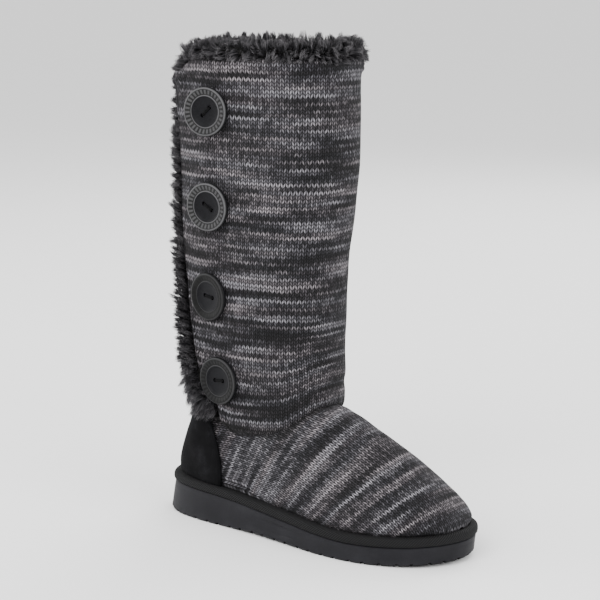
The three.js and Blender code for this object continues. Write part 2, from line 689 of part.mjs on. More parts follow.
// Strip of fur behind the flap's edge, from the collar down to the heel counter
function furTrim() {
  const steps = 12;
  const sectionAt = (z) => {
    const at = overBack(z);
    const reach = TRIM_WIDTH / SHAFT_GIRTH;
    const profile = [[1, 0], [0.9, 0.5], [0.6, 1], [0.3, 0.95], [0.13, 0.5], [0.13, 0], [0.5, -0.4]];
    return profile.map(([across, out]) => at(1 - reach * across, out));
  };
  const low = COUNTER_TOP + 5;
  const high = COLLAR_HEIGHT - FLAP_CORNER_DROP * 1.2;
  const rings = [];
  for (let s = 0; s <= steps; s += 1) {
    rings.push(sectionAt(mix(low, high, s / steps)));
  }
  const locks = [];
  for (let n = 0; n < TRIM_LOCK_ROWS * 2; n += 1) {
    const row = Math.floor(n / 2);
    const z = mix(low + 8, high - 4, (row + 0.4 * scatter(n)) / TRIM_LOCK_ROWS);
    const at = overBack(z);
    const turn = 1 - (TRIM_WIDTH / SHAFT_GIRTH) * (n % 2 === 0 ? 0.3 : 0.68);
    const root = at(turn, 0.35);
    const out = at(turn, 1).sub(root).normalize();
    const tip = root.clone().addScaledVector(out, LOCK_LENGTH * (0.85 + 0.3 * scatter(n + 4)));
    tip.z -= LOCK_LENGTH * 0.45;
    locks.push(lock(root, tip, LOCK_RADIUS * 0.85));
  }
  const strip = wasm.Manifold.union([toSolid(loft(rings)), ...locks]);
  return toGeometry(largest(strip.subtract(shaftOuter(GAP * 2))));
}

// Point over the sunk surface behind the flap, by turn and by share of the trim's thickness
const overBack = (z) => (turn, out) => {
  const rise = GAP + out * TRIM_THICKNESS;
  return shaftPoint(z, edgeAngle(z) + turn * 360, sunkBehind(turn) - rise);
};

// Large dished button with two holes, its face along +Z and its back at zero
function buttonBlank(turn) {
  const r = BUTTON_DIAMETER / 2;
  const t = BUTTON_THICKNESS;
  const profile = [
    [0, 0], [r * 0.86, 0], [r, t * 0.4], [r * 0.98, t * 0.84], [r * 0.88, t], [r * 0.66, t * 0.72],
    [r * 0.62, t * 0.84], [r * 0.54, t * 0.6], [0, t * 0.46],
  ].map(([x, y]) => new THREE.Vector2(x, y));
  const disc = new THREE.LatheGeometry(profile, BUTTON_SIDES);
  disc.rotateX(Math.PI / 2);
  const holes = [-1, 1].map((side) => {
    const hole = new THREE.CylinderGeometry(BUTTON_HOLE_DIAMETER / 2, BUTTON_HOLE_DIAMETER / 2, t * 3, HOLE_SIDES);
    hole.rotateX(Math.PI / 2);
    const reach = (side * BUTTON_HOLE_SPACING) / 2;
    hole.translate(reach * Math.cos(radians(turn)), reach * Math.sin(radians(turn)), 0);
    return toSolid(hole);
  });
  return toSolid(disc).subtract(wasm.Manifold.union(holes));
}

// Flat place of a button on the flap: the surface's point and the direction that it faces
function buttonSeat(row) {
  const z = shaftZ(row.up);
  const at = shaftPoint(z, row.angle, 0);
  const along = shaftPoint(z, row.angle + 2, 0).sub(shaftPoint(z, row.angle - 2, 0));
  const up = shaftPoint(z + 4, row.angle, 0).sub(shaftPoint(z - 4, row.angle, 0));
  const out = along.cross(up).normalize();
  const lean = radians(row.lean);
  const lift = Math.sin(lean) * BUTTON_DIAMETER * LEAN_LIFT;
  return { at: at.addScaledVector(out, GAP + lift), out: out.applyAxisAngle(UP, lean) };
}

function place(name, geometry, material) {
  const mesh = new THREE.Mesh(geometry, material);
  mesh.name = name;
  return mesh;
}

const boot = new THREE.Group();
boot.add(place('outsole', outsole(), MATERIALS.rubber));
boot.add(place('welt_tape', weltTape(), MATERIALS.tape));
boot.add(place('insole', insole(), MATERIALS.felt));
boot.add(place('upper', upper(), MATERIALS.knit));
boot.add(place('heel_counter', heelCounter(), MATERIALS.suede));
boot.add(place('fur_trim', furTrim(), MATERIALS.fur));
boot.add(place('fur_collar', furCollar(), MATERIALS.fur));
BUTTONS.forEach((row, i) => {
  const seat = buttonSeat(row);
  const button = place(`button_${i + 1}`, toGeometry(buttonBlank(row.turn)), MATERIALS.button);
  const face = new THREE.Object3D();
  face.up.copy(UP);
  face.lookAt(seat.out);
  button.quaternion.copy(face.quaternion);
  button.position.copy(seat.at);
  boot.add(button);
});

// The boot stands with the middle of its box at the origin and its sole on the floor
boot.updateMatrixWorld(true);
const box = new THREE.Box3().setFromObject(boot, true);
const middle = box.getCenter(new THREE.Vector3());
boot.position.set(-middle.x, -middle.y, -box.min.z);

export default boot;
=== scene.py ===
"""A tall knitted winter boot with a fur collar, a buttoned side flap and a rubber unit sole."""

import logging
import math
from dataclasses import dataclass, field
from enum import Enum
from typing import Any, Callable

import bmesh
import bpy
import numpy as np
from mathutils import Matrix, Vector


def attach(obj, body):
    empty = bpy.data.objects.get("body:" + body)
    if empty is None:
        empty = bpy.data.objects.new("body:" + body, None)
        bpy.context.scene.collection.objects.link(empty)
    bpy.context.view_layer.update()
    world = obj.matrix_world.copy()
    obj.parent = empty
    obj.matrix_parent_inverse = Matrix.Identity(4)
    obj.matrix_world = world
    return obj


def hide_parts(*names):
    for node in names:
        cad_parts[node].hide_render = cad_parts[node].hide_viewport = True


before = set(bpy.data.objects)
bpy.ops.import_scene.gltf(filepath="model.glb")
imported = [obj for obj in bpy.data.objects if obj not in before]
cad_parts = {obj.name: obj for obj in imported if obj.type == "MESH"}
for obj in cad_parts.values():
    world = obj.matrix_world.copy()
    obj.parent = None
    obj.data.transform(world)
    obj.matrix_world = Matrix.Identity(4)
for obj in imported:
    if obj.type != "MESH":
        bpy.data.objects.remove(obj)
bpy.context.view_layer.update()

log = logging.getLogger("boot")

Array = np.ndarray
Pair = tuple[Array, Array]
Points = tuple[Array, Array, Array]
Shape = Callable[[Array, Array], Points]
Colour = tuple[float, float, float]

STITCH_UNIT = 128.0
"""Stitches and rows of knitting per unit of a knitted piece's UV map."""
HAIR_NUMBERS = 4096
"""How many hairs in a row have numbers of their own on the map."""


def smooth(t: Array | float) -> Array:
    """Eases from 0 to 1 as t does, and holds both ends."""
    s = np.clip(t, 0, 1)
    return s * s * (3 - 2 * s)


def mix(a: Any, b: Any, t: Any) -> Any:
    """The value a share t of the way from a to b."""
    return a + (b - a) * t


def bell(distance: Array, half: float) -> Array:
    """A soft hump of height 1 that fades out at about twice the half width."""
    return np.exp(-((distance / half) ** 2))


def ripple(x: Array, y: Array, seed: float) -> Array:
    """Slow irregular waves between about -1 and 1.

    Args:
        x: Place along the first direction, in waves.
        y: Place along the second direction, in waves.
        seed: Shifts the pattern.

    Returns:
        The height of the waves at each place.
    """
    total = np.sin(2.1 * x + 1.3 * y + seed) + np.sin(1.2 * x - 2.3 * y + 2.7 * seed)
    total = total + 0.6 * np.sin(3.7 * x + 0.8 * y + 1.9 * seed)
    return (total + 0.6 * np.sin(-2.6 * x + 4.1 * y + 0.4 * seed)) / 3.2


def bent(x: Array, power: Array | float) -> Array:
    """A power of x that keeps its sign."""
    return np.sign(x) * np.abs(x) ** power


def stretch(u: Array, start: float) -> Array:
    """Share of the last stretch of u, which begins at a start."""
    return np.clip((u - start) / (1 - start), 0, 1)


def rows_at(rows: tuple[tuple[float, float], ...], share: Array) -> list[Array]:
    """A table's columns, read straight at a share of the way through its rows."""
    return [np.interp(share, np.linspace(0, 1, len(rows)), column) for column in zip(*rows)]


def run_length(*axes: Array) -> Array:
    """Length along lines of points from their first one, each axis running over its last index."""
    step = np.sqrt(sum(np.diff(axis) ** 2 for axis in axes))
    return np.concatenate([np.zeros_like(step[..., :1]), np.cumsum(step, axis=-1)], axis=-1)


def halved(holds: Callable[[Array], Array], low: Array, high: Array) -> Array:
    """Finds by halving where a test stops holding.

    Args:
        holds: The test, true at low places and false at high ones.
        low: Lowest place of each point.
        high: Highest place of each point.

    Returns:
        The last place at which the test holds.
    """
    for _ in range(26):
        middle = (low + high) / 2
        held = holds(middle)
        low, high = np.where(held, middle, low), np.where(held, high, middle)
    return low


def facing(at: Callable[[Array, Array], Array], p: Array, q: Array) -> Pair:
    """Points of a band given by two shares, and the unit directions away from it."""
    out = np.cross(at(p + 0.004, q) - at(p - 0.004, q), at(p, q + 0.03) - at(p, q - 0.03))
    return at(p, q), out / (np.linalg.norm(out, axis=1) + 1e-9)[:, None]


class Curve:
    """A smooth curve through a table's rows that never overshoots them."""

    def __init__(self, places: list[float], values: list[float]) -> None:
        """Works out the slopes.

        Args:
            places: Rising places of the rows.
            values: Value at each place.
        """
        self.places = np.array(places, float)
        self.values = np.array(values, float)
        slope = np.diff(self.values) / np.diff(self.places)
        before, after = slope[:-1], slope[1:]
        same = before * after > 0
        total = np.where(same, before + after, 1)
        inner = np.where(same, 2 * before * after / total, 0)
        self.tangents = np.concatenate([[slope[0]], inner, [slope[-1]]])

    def __call__(self, at: Array | float) -> Array:
        """The curve's value.

        Args:
            at: Places to read, held inside the table.

        Returns:
            The value at each place.
        """
        x = np.clip(at, self.places[0], self.places[-1])
        i = np.clip(np.searchsorted(self.places, x, side="left") - 1, 0, len(self.places) - 2)
        span = self.places[i + 1] - self.places[i]
        t = (x - self.places[i]) / span
        rise = self.values[i + 1] - self.values[i]
        bend = self.tangents[i] * span - rise
        counter = rise - self.tangents[i + 1] * span
        return self.values[i] + rise * t + t * (1 - t) * ((1 - t) * bend + t * counter)


# Outline of the sole: place along it, reach to the outer and the inner side over the ball width
OUTLINE = [
    (0.012, 0.124, 0.124), (0.04, 0.237, 0.237), (0.09, 0.325, 0.32), (0.17, 0.376, 0.366),
    (0.3, 0.402, 0.351), (0.42, 0.433, 0.351), (0.55, 0.474, 0.392), (0.66, 0.505, 0.459),
    (0.76, 0.495, 0.49), (0.85, 0.433, 0.464), (0.92, 0.335, 0.392), (0.97, 0.201, 0.278),
    (0.992, 0.082, 0.17),
]

# Leaning sections of the foot: place at the seam, place and rise of the crown, squareness, bulge
FOOT = [
    (0, 0.044, 0.01, 2.2, 0), (0.006, 0.045, 0.1, 2.2, 0), (0.02, 0.051, 0.22, 2.3, 0.01),
    (0.047, 0.069, 0.37, 2.4, 0.02), (0.083, 0.09, 0.53, 2.6, 0.04), (0.13, 0.113, 0.69, 3, 0.06),
    (0.186, 0.14, 0.85, 3.8, 0.09), (0.257, 0.22, 0.98, 5, 0.11), (0.316, 0.43, 1.01, 4.6, 0.11),
    (0.375, 0.579, 1, 3.2, 0.08), (0.43, 0.635, 0.955, 2.6, 0.06), (0.482, 0.688, 0.885, 2.3, 0.05),
    (0.573, 0.771, 0.745, 2.1, 0.03), (0.676, 0.855, 0.56, 2.1, 0.02),
    (0.771, 0.908, 0.405, 2.2, 0.01), (0.85, 0.94, 0.295, 2.2, 0), (0.921, 0.964, 0.18, 2.3, 0),
    (0.964, 0.977, 0.1, 2.3, 0), (0.988, 0.982, 0.04, 2.3, 0), (1, 0.983, 0.01, 2.3, 0),
]

# Level sections of the shaft: height, centre over the sole's length, depth, width, squareness
SHAFT = [
    (-0.16, -0.159, 0.86, 0.86, 2.4), (-0.055, -0.16, 0.87, 0.88, 2.4),
    (0, -0.158, 0.868, 0.914, 2.4), (0.05, -0.16, 0.888, 0.925, 2.4),
    (0.156, -0.164, 0.886, 0.935, 2.4), (0.292, -0.164, 0.9, 0.946, 2.45),
    (0.44, -0.161, 0.926, 0.968, 2.5), (0.58, -0.154, 0.959, 0.99, 2.6),
    (0.7, -0.149, 0.972, 1, 2.7), (0.89, -0.148, 0.982, 1, 2.7), (1.03, -0.148, 0.982, 1, 2.7),
]


def columns(rows: list[tuple[float, ...]]) -> list[Curve]:
    """Curves of a table's columns over its first one."""
    places = [row[0] for row in rows]
    return [Curve(places, [row[c] for row in rows]) for c in range(1, len(rows[0]))]


class BootForm:
    """The boot's main shapes in millimetres, heel to toe along X about the middle of the sole."""

    sole_length = 265.5
    ball_width = 97.0
    heel_thickness = 23.0
    forefoot_thickness = 14.0
    toe_spring = 3.2
    toe_tip_side = 0.041
    heel_flare = 3.2
    toe_tuck = 1.4
    feather_inset = 5.2
    heel_seat_inset = 2.6
    tape_height = 6.6
    gap = 0.3
    wall = 2.5
    instep = 98.0
    collar = 352.5
    shaft_depth = 138.0
    shaft_width = 93.0
    flap_step = 3.5
    flap_fade = 70.0
    flap_lap = 28.0
    corner_drop = 11.0
    corner_reach = 42.0
    trim_width = 22.0
    trim_thickness = 8.5
    skirt = 0.04
    tip = 0.014
    offset = (-1.306, 3.548, 0.0)

    def __init__(self) -> None:
        """Reads the tables."""
        self.crown, self.rise, self.square, self.bulge = columns(FOOT)
        self.centre, self.depth, self.width, self.round = columns(SHAFT)
        along = [0, 0.07, 0.25, 0.4, 0.55, 0.64, 0.75, 0.88, 1]
        self.thickness = Curve(along, [1, 1, 0.9, 0.65, 0.33, 0.13, 0, 0, 0])
        self.spring = Curve(along, [0, 0, 0, 0, 0, 0, 0, 0.3, 1])
        self.seam_up = Curve(
            [0, 21, 40, 57, 90, 104, 140, 180],
            [0.985, 0.965, 0.885, 0.82, 0.796, 0.83, 0.865, 0.875],
        )
        self.edge = Curve(
            [-0.1, 0, 0.035, 0.085, 0.215, 0.35, 0.54, 0.75, 1.05],
            [-101, -103, -114, -122, -133, -142, -149, -150, -152],
        )
        self.tuck = Curve([-7, 0, 2.4, 5.2, 8], [9, 3, 1.2, 0.24, 0])
        self.girth = math.pi * math.sqrt((self.shaft_depth**2 + self.shaft_width**2) / 2)
        self.outline = self.sole_outline(576)

    def sole_outline(self, count: int) -> Array:
        """Even points round the sole, heel tip first and along the outer side.

        Args:
            count: How many points.

        Returns:
            Points as an array of x and y.
        """
        x = lambda along: (along - 0.5) * self.sole_length
        outer = [(x(a), -o * self.ball_width) for a, o, _ in OUTLINE]
        inner = [(x(a), i * self.ball_width) for a, _, i in OUTLINE]
        knots = [(x(0), 0.0), *outer, (x(1), self.toe_tip_side * self.ball_width), *inner[::-1]]
        p = np.array(knots)
        t = np.linspace(0, 1, 80, endpoint=False)[:, None]
        parts = []
        for i in range(len(p)):
            p0, p1, p2, p3 = p[i - 1], p[i], p[(i + 1) % len(p)], p[(i + 2) % len(p)]
            d0, d1, d2 = (math.sqrt(np.linalg.norm(b - a)) for a, b in ((p0, p1), (p1, p2), (p2, p3)))
            t1 = ((p1 - p0) / d0 - (p2 - p0) / (d0 + d1) + (p2 - p1) / d1) * d1
            t2 = ((p2 - p1) / d1 - (p3 - p1) / (d1 + d2) + (p3 - p2) / d2) * d1
            c2 = -3 * p1 + 3 * p2 - 2 * t1 - t2
            parts.append(p1 + t1 * t + c2 * t**2 + (2 * p1 - 2 * p2 + t1 + t2) * t**3)
        dense = np.vstack([*parts, p[:1]])
        length = run_length(*dense.T)
        at = np.linspace(0, length[-1], count, endpoint=False)
        return np.stack([np.interp(at, length, dense[:, k]) for k in (0, 1)], axis=1)

    def moved(self, distance: Callable[[Array], Array]) -> Array:
        """The sole's outline moved outwards by a distance that may change along the sole."""
        run = np.roll(self.outline, -1, axis=0) - np.roll(self.outline, 1, axis=0)
        run /= np.linalg.norm(run, axis=1)[:, None]
        reach = distance(self.outline[:, 0])
        return self.outline + np.stack([run[:, 1] * reach, -run[:, 0] * reach], axis=1)

    def along(self, x: Array | float) -> Array:
        """Place along the sole, 0 at the heel and 1 at the toe."""
        return np.asarray(x) / self.sole_length + 0.5

    def sole_top(self, x: Array | float) -> Array:
        """Height of the sole's top."""
        along = self.along(x)
        level = mix(self.forefoot_thickness, self.heel_thickness, self.thickness(along))
        return level + self.toe_spring * self.spring(along)

    def flare(self, x: Array | float) -> Array:
        """How far the sole's top edge stands out past the floor outline."""
        return mix(-self.heel_flare, self.toe_tuck, smooth(self.along(x) * 1.25 - 0.1))

    def seam_line(self, grow: float) -> Array:
        """The upper's outline at the sole, moved outwards by a distance."""
        seat = lambda x: self.heel_seat_inset * smooth((0.22 - self.along(x)) * 6)
        return self.moved(lambda x: self.flare(x) - self.feather_inset - seat(x) + grow)

    def feather(self, x: Array | float) -> Array:
        """Height at which the upper meets the sole."""
        return self.sole_top(x) + self.gap

    def tape_top(self, x: Array | float) -> Array:
        """Height of the taped seam's top edge."""
        return self.feather(x) + self.tape_height

    def foot_point(self, t: Array, a: Array, grow: float) -> Points:
        """Points of the foot's outside.

        Args:
            t: Station from the heel, 0, to the toe, 1.
            a: Share of the arc from the outer side over the crown to the inner side.
            grow: Distance by which the form is grown.

        Returns:
            The points' x, y and z.
        """
        line = self.seam_line(grow)
        heel, toe = int(line[:, 0].argmin()), int(line[:, 0].argmax())
        if heel > toe:
            heel -= len(line)
        ring = np.roll(line, -heel, axis=0)
        outer, inner = ring[: toe - heel + 1], np.vstack([ring[toe - heel :], ring[:1]])[::-1]
        share = self.station(t)
        x = mix(line[:, 0].min(), line[:, 0].max(), share)
        y0 = np.interp(x, outer[:, 0], outer[:, 1])
        y1 = np.interp(x, inner[:, 0], inner[:, 1])
        place = lambda s: (
            (self.crown(s) - 0.5) * self.sole_length,
            mix(self.tape_top(mix(line[:, 0].min(), line[:, 0].max(), s)), self.instep, self.rise(s)),
        )
        (ax, az), (bx, bz), (cx, cz) = place(share - 0.002), place(share + 0.002), place(share)
        run = np.hypot(bx - ax, bz - az)
        cx, cz = cx - (bz - az) / run * grow, cz + (bx - ax) / run * grow
        power = 2 / self.square(share)
        angle = np.pi * a
        up = np.clip(np.sin(angle), 0, 1) ** power
        swell = 1 + self.bulge(share) * 4 * up * (1 - up)
        y = (y0 + y1) / 2 - (y1 - y0) / 2 * bent(np.cos(angle), power) * swell
        base = self.tape_top(x)
        return mix(x, cx, up), y, mix(base, cz, up)

    def station(self, t: Array) -> Array:
        """Share of the way along the foot's seam, for stations that lie closer at both ends."""
        return (1 - np.cos(np.pi * mix(self.tip, 1 - self.tip, t))) / 2

    def raised(self, t: Array, a: Array, rise: Array | float) -> Points:
        """Points of the foot moved outwards by a distance that may change over it."""
        low, high = self.foot_point(t, a, 0.0), self.foot_point(t, a, 1.0)
        return tuple(p + (q - p) * rise for p, q in zip(low, high))

    def skirted(self, u: Array) -> Pair:
        """Share of the foot's arc, and of the way down behind the tape past its two ends."""
        arc = mix(-self.skirt, 1 + self.skirt, u)
        return np.clip(arc, 0, 1), np.clip(np.abs(arc - 0.5) - 0.5, 0, 1) / self.skirt

    def share_up(self, z: Array | float) -> Array:
        """Share of the way from the instep up to the collar."""
        return (np.asarray(z) - self.instep) / (self.collar - self.instep)

    def bearing(self, z: Array, turn: Array) -> Array:
        """Angle from the front, in degrees, at a share of the turn from the flap's free edge."""
        return self.edge(self.share_up(z)) + turn * 360

    def seam_z(self, degrees: Array) -> Array:
        """Height of the seam between shaft and foot at an angle from the front."""
        return self.seam_up(np.abs((degrees + 540) % 360 - 180)) * self.instep

    def shaft_point(self, z: Array, degrees: Array, inset: Array) -> Points:
        """Points of the shaft.

        Args:
            z: Heights.
            degrees: Angles from the front, counted towards the inner side.
            inset: Distances inwards.

        Returns:
            The points' x, y and z.
        """
        up = self.share_up(z)
        power = 2 / self.round(up)
        angle = np.radians(degrees)
        deep = self.depth(up) * self.shaft_depth / 2 - inset
        wide = self.width(up) * self.shaft_width / 2 - inset
        x = self.centre(up) * self.sole_length + deep * bent(np.cos(angle), power)
        return x, wide * bent(np.sin(angle), power), z

    def round_leg(self, points: Array, inset: float) -> Pair:
        """Where points lie about the leg.

        Args:
            points: Points in millimetres, one row each.
            inset: Distance by which the leg's surface is moved inwards.

        Returns:
            Share of the way out to the surface, raised to its squareness, and angle from the front.
        """
        x, y, z = points.T
        up = self.share_up(z)
        n = self.round(up)
        deep = self.depth(up) * self.shaft_depth / 2 - inset
        forward = (x - self.centre(up) * self.sole_length) / deep
        side = y / (self.width(up) * self.shaft_width / 2 - inset)
        degrees = np.degrees(np.arctan2(bent(side, n / 2), bent(forward, n / 2)))
        return np.abs(forward) ** n + np.abs(side) ** n, degrees

    def sunk(self, turn: Array) -> Array:
        """How far the surface lies below the flap, coming round to its edge."""
        return self.flap_step * (1 - smooth((1 - turn) * self.girth / self.flap_fade))

    def lapped(self, turn: Array) -> Array:
        """How far the wall's inside is moved in, where it is sunk or thicker under the flap's edge."""
        thicker = self.flap_step * (1 - smooth(turn * self.girth / self.flap_lap))
        return np.maximum(self.sunk(turn), thicker)

    def top(self, turn: Array) -> Array:
        """Height of the knitted collar, lower at the flap's corner."""
        away = np.minimum(turn, 1 - turn) * self.girth
        return self.collar - self.corner_drop * (1 - smooth(away / self.corner_reach))

    def levels(self, turn: Array, v: Array, under: float, over: float) -> Array:
        """Heights from below the ankle seam up to the collar.

        Args:
            turn: Share of the turn from the flap's edge.
            v: Share of the way up.
            under: Distance below the ankle seam at which it starts.
            over: Distance below the collar at which it ends.

        Returns:
            The height of each point.
        """
        top = self.top(turn) - over
        z = mix(self.instep, top, v)
        for _ in range(5):
            z = mix(self.seam_z(self.bearing(z, turn)) - under, top, v)
        return z


FORM = BootForm()


def metres(x: Array, y: Array, z: Array) -> Array:
    """Points in metres in the shared frame, one row each, from millimetres."""
    ox, oy, oz = FORM.offset
    return np.stack([x + ox, y + oy, z + oz], axis=-1) / 1000


class Maker:
    """Turns bmesh shapes into finished pieces of the boot."""

    @staticmethod
    def grid(across: int, up: int) -> tuple[bmesh.types.BMesh, Array, Array]:
        """A flat grid to be shaped.

        Args:
            across: Faces along the first direction.
            up: Faces along the second direction.

        Returns:
            The mesh and the two shares, from 0 to 1, of each of its vertices.
        """
        bm = bmesh.new()
        bmesh.ops.create_grid(bm, x_segments=across, y_segments=up, size=1)
        bm.verts.index_update()
        co = np.array([v.co[:2] for v in bm.verts])
        return bm, (co[:, 0] + 1) / 2, (co[:, 1] + 1) / 2

    @staticmethod
    def finish(bm: bmesh.types.BMesh, name: str, points: Array | None = None, uv: Array | None = None,
               merge: float = 0, outwards: bool = False, flip: bool = False) -> bpy.types.Object:
        """Makes a bmesh a smooth piece.

        Args:
            bm: The shape.
            name: The piece's name.
            points: New places of the vertices in metres.
            uv: Place of each vertex on the piece's map.
            merge: Distance in metres within which vertices are joined.
            outwards: Whether the faces are turned outwards.
            flip: Whether the faces are turned over.

        Returns:
            The piece.
        """
        name = name.replace(" ", "_")
        mesh = bpy.data.meshes.new(name)
        bm.to_mesh(mesh)
        bm.free()
        if points is not None:
            mesh.vertices.foreach_set("co", points.astype(np.float32).ravel())
        if uv is not None:
            layer = mesh.uv_layers.new(name="map")
            corner = np.empty(len(mesh.loops), np.int32)
            mesh.loops.foreach_get("vertex_index", corner)
            layer.data.foreach_set("uv", uv[corner].astype(np.float32).ravel())
        if merge or outwards or flip:
            bm = bmesh.new()
            bm.from_mesh(mesh)
            if merge:
                bmesh.ops.remove_doubles(bm, verts=bm.verts, dist=merge)
            if outwards:
                bmesh.ops.recalc_face_normals(bm, faces=bm.faces)
            if flip:
                bmesh.ops.reverse_faces(bm, faces=bm.faces)
            bm.to_mesh(mesh)
            bm.free()
        mesh.update()
        mesh.polygons.foreach_set("use_smooth", np.ones(len(mesh.polygons), bool))
        piece = bpy.data.objects.new(name, mesh)
        bpy.context.scene.collection.objects.link(piece)
        return piece

    @staticmethod
    def mark_painted_shade(piece: bpy.types.Object, share: Callable[[Array], Array]) -> None:
        """Marks painted shade on a piece: how deep each point lies in a seam or a notch, where shade falls.

        Args:
            piece: The piece.
            share: Gives the painted shade, from 0 to 1, for points in millimetres.
        """
        co = np.empty(len(piece.data.vertices) * 3, np.float32)
        piece.data.vertices.foreach_get("co", co)
        points = co.reshape(-1, 3).astype(float) * 1000 - np.array(FORM.offset)
        # The attribute holds painted shade, by which the knit and the rubber are darkened.
        layer = piece.data.attributes.new("hidden", "FLOAT", "POINT")
        layer.data.foreach_set("value", np.clip(share(points), 0, 1).astype(np.float32))

    @staticmethod
    def surface(name: str, across: int, up: int, shape: Shape,
                uv: Callable[[Array, Array], Pair] | None = None, **how: Any) -> bpy.types.Object:
        """A grid bent into a surface.

        Args:
            name: The piece's name.
            across: Faces along the first direction.
            up: Faces along the second direction.
            shape: Points in millimetres for the two shares.
            uv: Places on the piece's map for the two shares, the shares themselves if left out.
            how: Passed on to finish.

        Returns:
            The piece.
        """
        bm, u, v = Maker.grid(across, up)
        places = np.stack(uv(u, v) if uv else (u, v), axis=-1)
        return Maker.finish(bm, name, metres(*shape(u, v)), places, **how)

    @staticmethod
    def dressed_copy(node: str, name: str, angle: float) -> bpy.types.Object:
        """A merged, smoothly shaded copy of a solid, which stands for it.

        Args:
            node: The solid's name.
            name: The copy's name.
            angle: Angle in degrees from which an edge stays sharp.

        Returns:
            The copy.
        """
        bm = bmesh.new()
        bm.from_mesh(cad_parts[node].data)
        bmesh.ops.remove_doubles(bm, verts=bm.verts, dist=1e-6)
        bmesh.ops.dissolve_degenerate(bm, edges=bm.edges, dist=1e-6)
        for edge in bm.edges:
            edge.smooth = not edge.is_manifold or edge.calc_face_angle(0) < math.radians(angle)
        piece = Maker.finish(bm, name)
        weight = piece.modifiers.new("even shading", "WEIGHTED_NORMAL")
        weight.keep_sharp = True
        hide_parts(node)
        return piece

    @staticmethod
    def settle(piece: bpy.types.Object, slot: str, material: bpy.types.Material) -> bpy.types.Object:
        """Gives a piece its finish and fixes it to the boot."""
        piece.data.materials.clear()
        piece.data.materials.append(material)
        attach(piece, "root")
        log.info("%s: %d faces", piece.name, len(piece.data.polygons))
        return piece


def operator(operation: str, swapped: bool = False) -> Callable[["Wire", Any], "Wire"]:
    """A method that adds a Math node.

    Args:
        operation: The node's operation.
        swapped: Whether the other value comes first.

    Returns:
        The method.
    """
    def method(wire: "Wire", other: Any) -> "Wire":
        """The node's result for the two values."""
        return wire.maths(operation, *((other, wire) if swapped else (wire, other)))

    return method


class Wire:
    """A node's output that takes part in expressions; each operator adds a Math node."""

    def __init__(self, shader: "Shader", socket: bpy.types.NodeSocket) -> None:
        """Keeps the socket and the shader that it belongs to."""
        self.shader = shader
        self.socket = socket

    def maths(self, operation: str, *values: Any) -> "Wire":
        """The result of a Math node."""
        return self.shader.node("ShaderNodeMath", {"operation": operation}, dict(enumerate(values)))

    __add__ = operator("ADD")
    __radd__ = operator("ADD", True)
    __sub__ = operator("SUBTRACT")
    __rsub__ = operator("SUBTRACT", True)
    __mul__ = operator("MULTIPLY")
    __rmul__ = operator("MULTIPLY", True)
    __pow__ = operator("POWER")

    def floor(self) -> "Wire":
        """Whole part."""
        return self.maths("FLOOR", self)

    def part(self) -> "Wire":
        """Part after the point."""
        return self.maths("FRACT", self)

    def size(self) -> "Wire":
        """Value without its sign."""
        return self.maths("ABSOLUTE", self)

    def wave(self) -> "Wire":
        """Sine of this many turns."""
        return self.maths("SINE", self * (2 * math.pi))

    def ramp(self, low: float, high: float) -> "Wire":
        """Soft step from 0 at a low value to 1 at a high one."""
        return self.shader.node(
            "ShaderNodeMapRange", {"interpolation_type": "SMOOTHSTEP"}, {0: self, 1: low, 2: high}
        )

    def split(self) -> tuple["Wire", "Wire", "Wire"]:
        """The three parts of a vector."""
        made = self.shader.node("ShaderNodeSeparateXYZ", {}, {0: self})
        return tuple(Wire(self.shader, out) for out in made.socket.node.outputs)


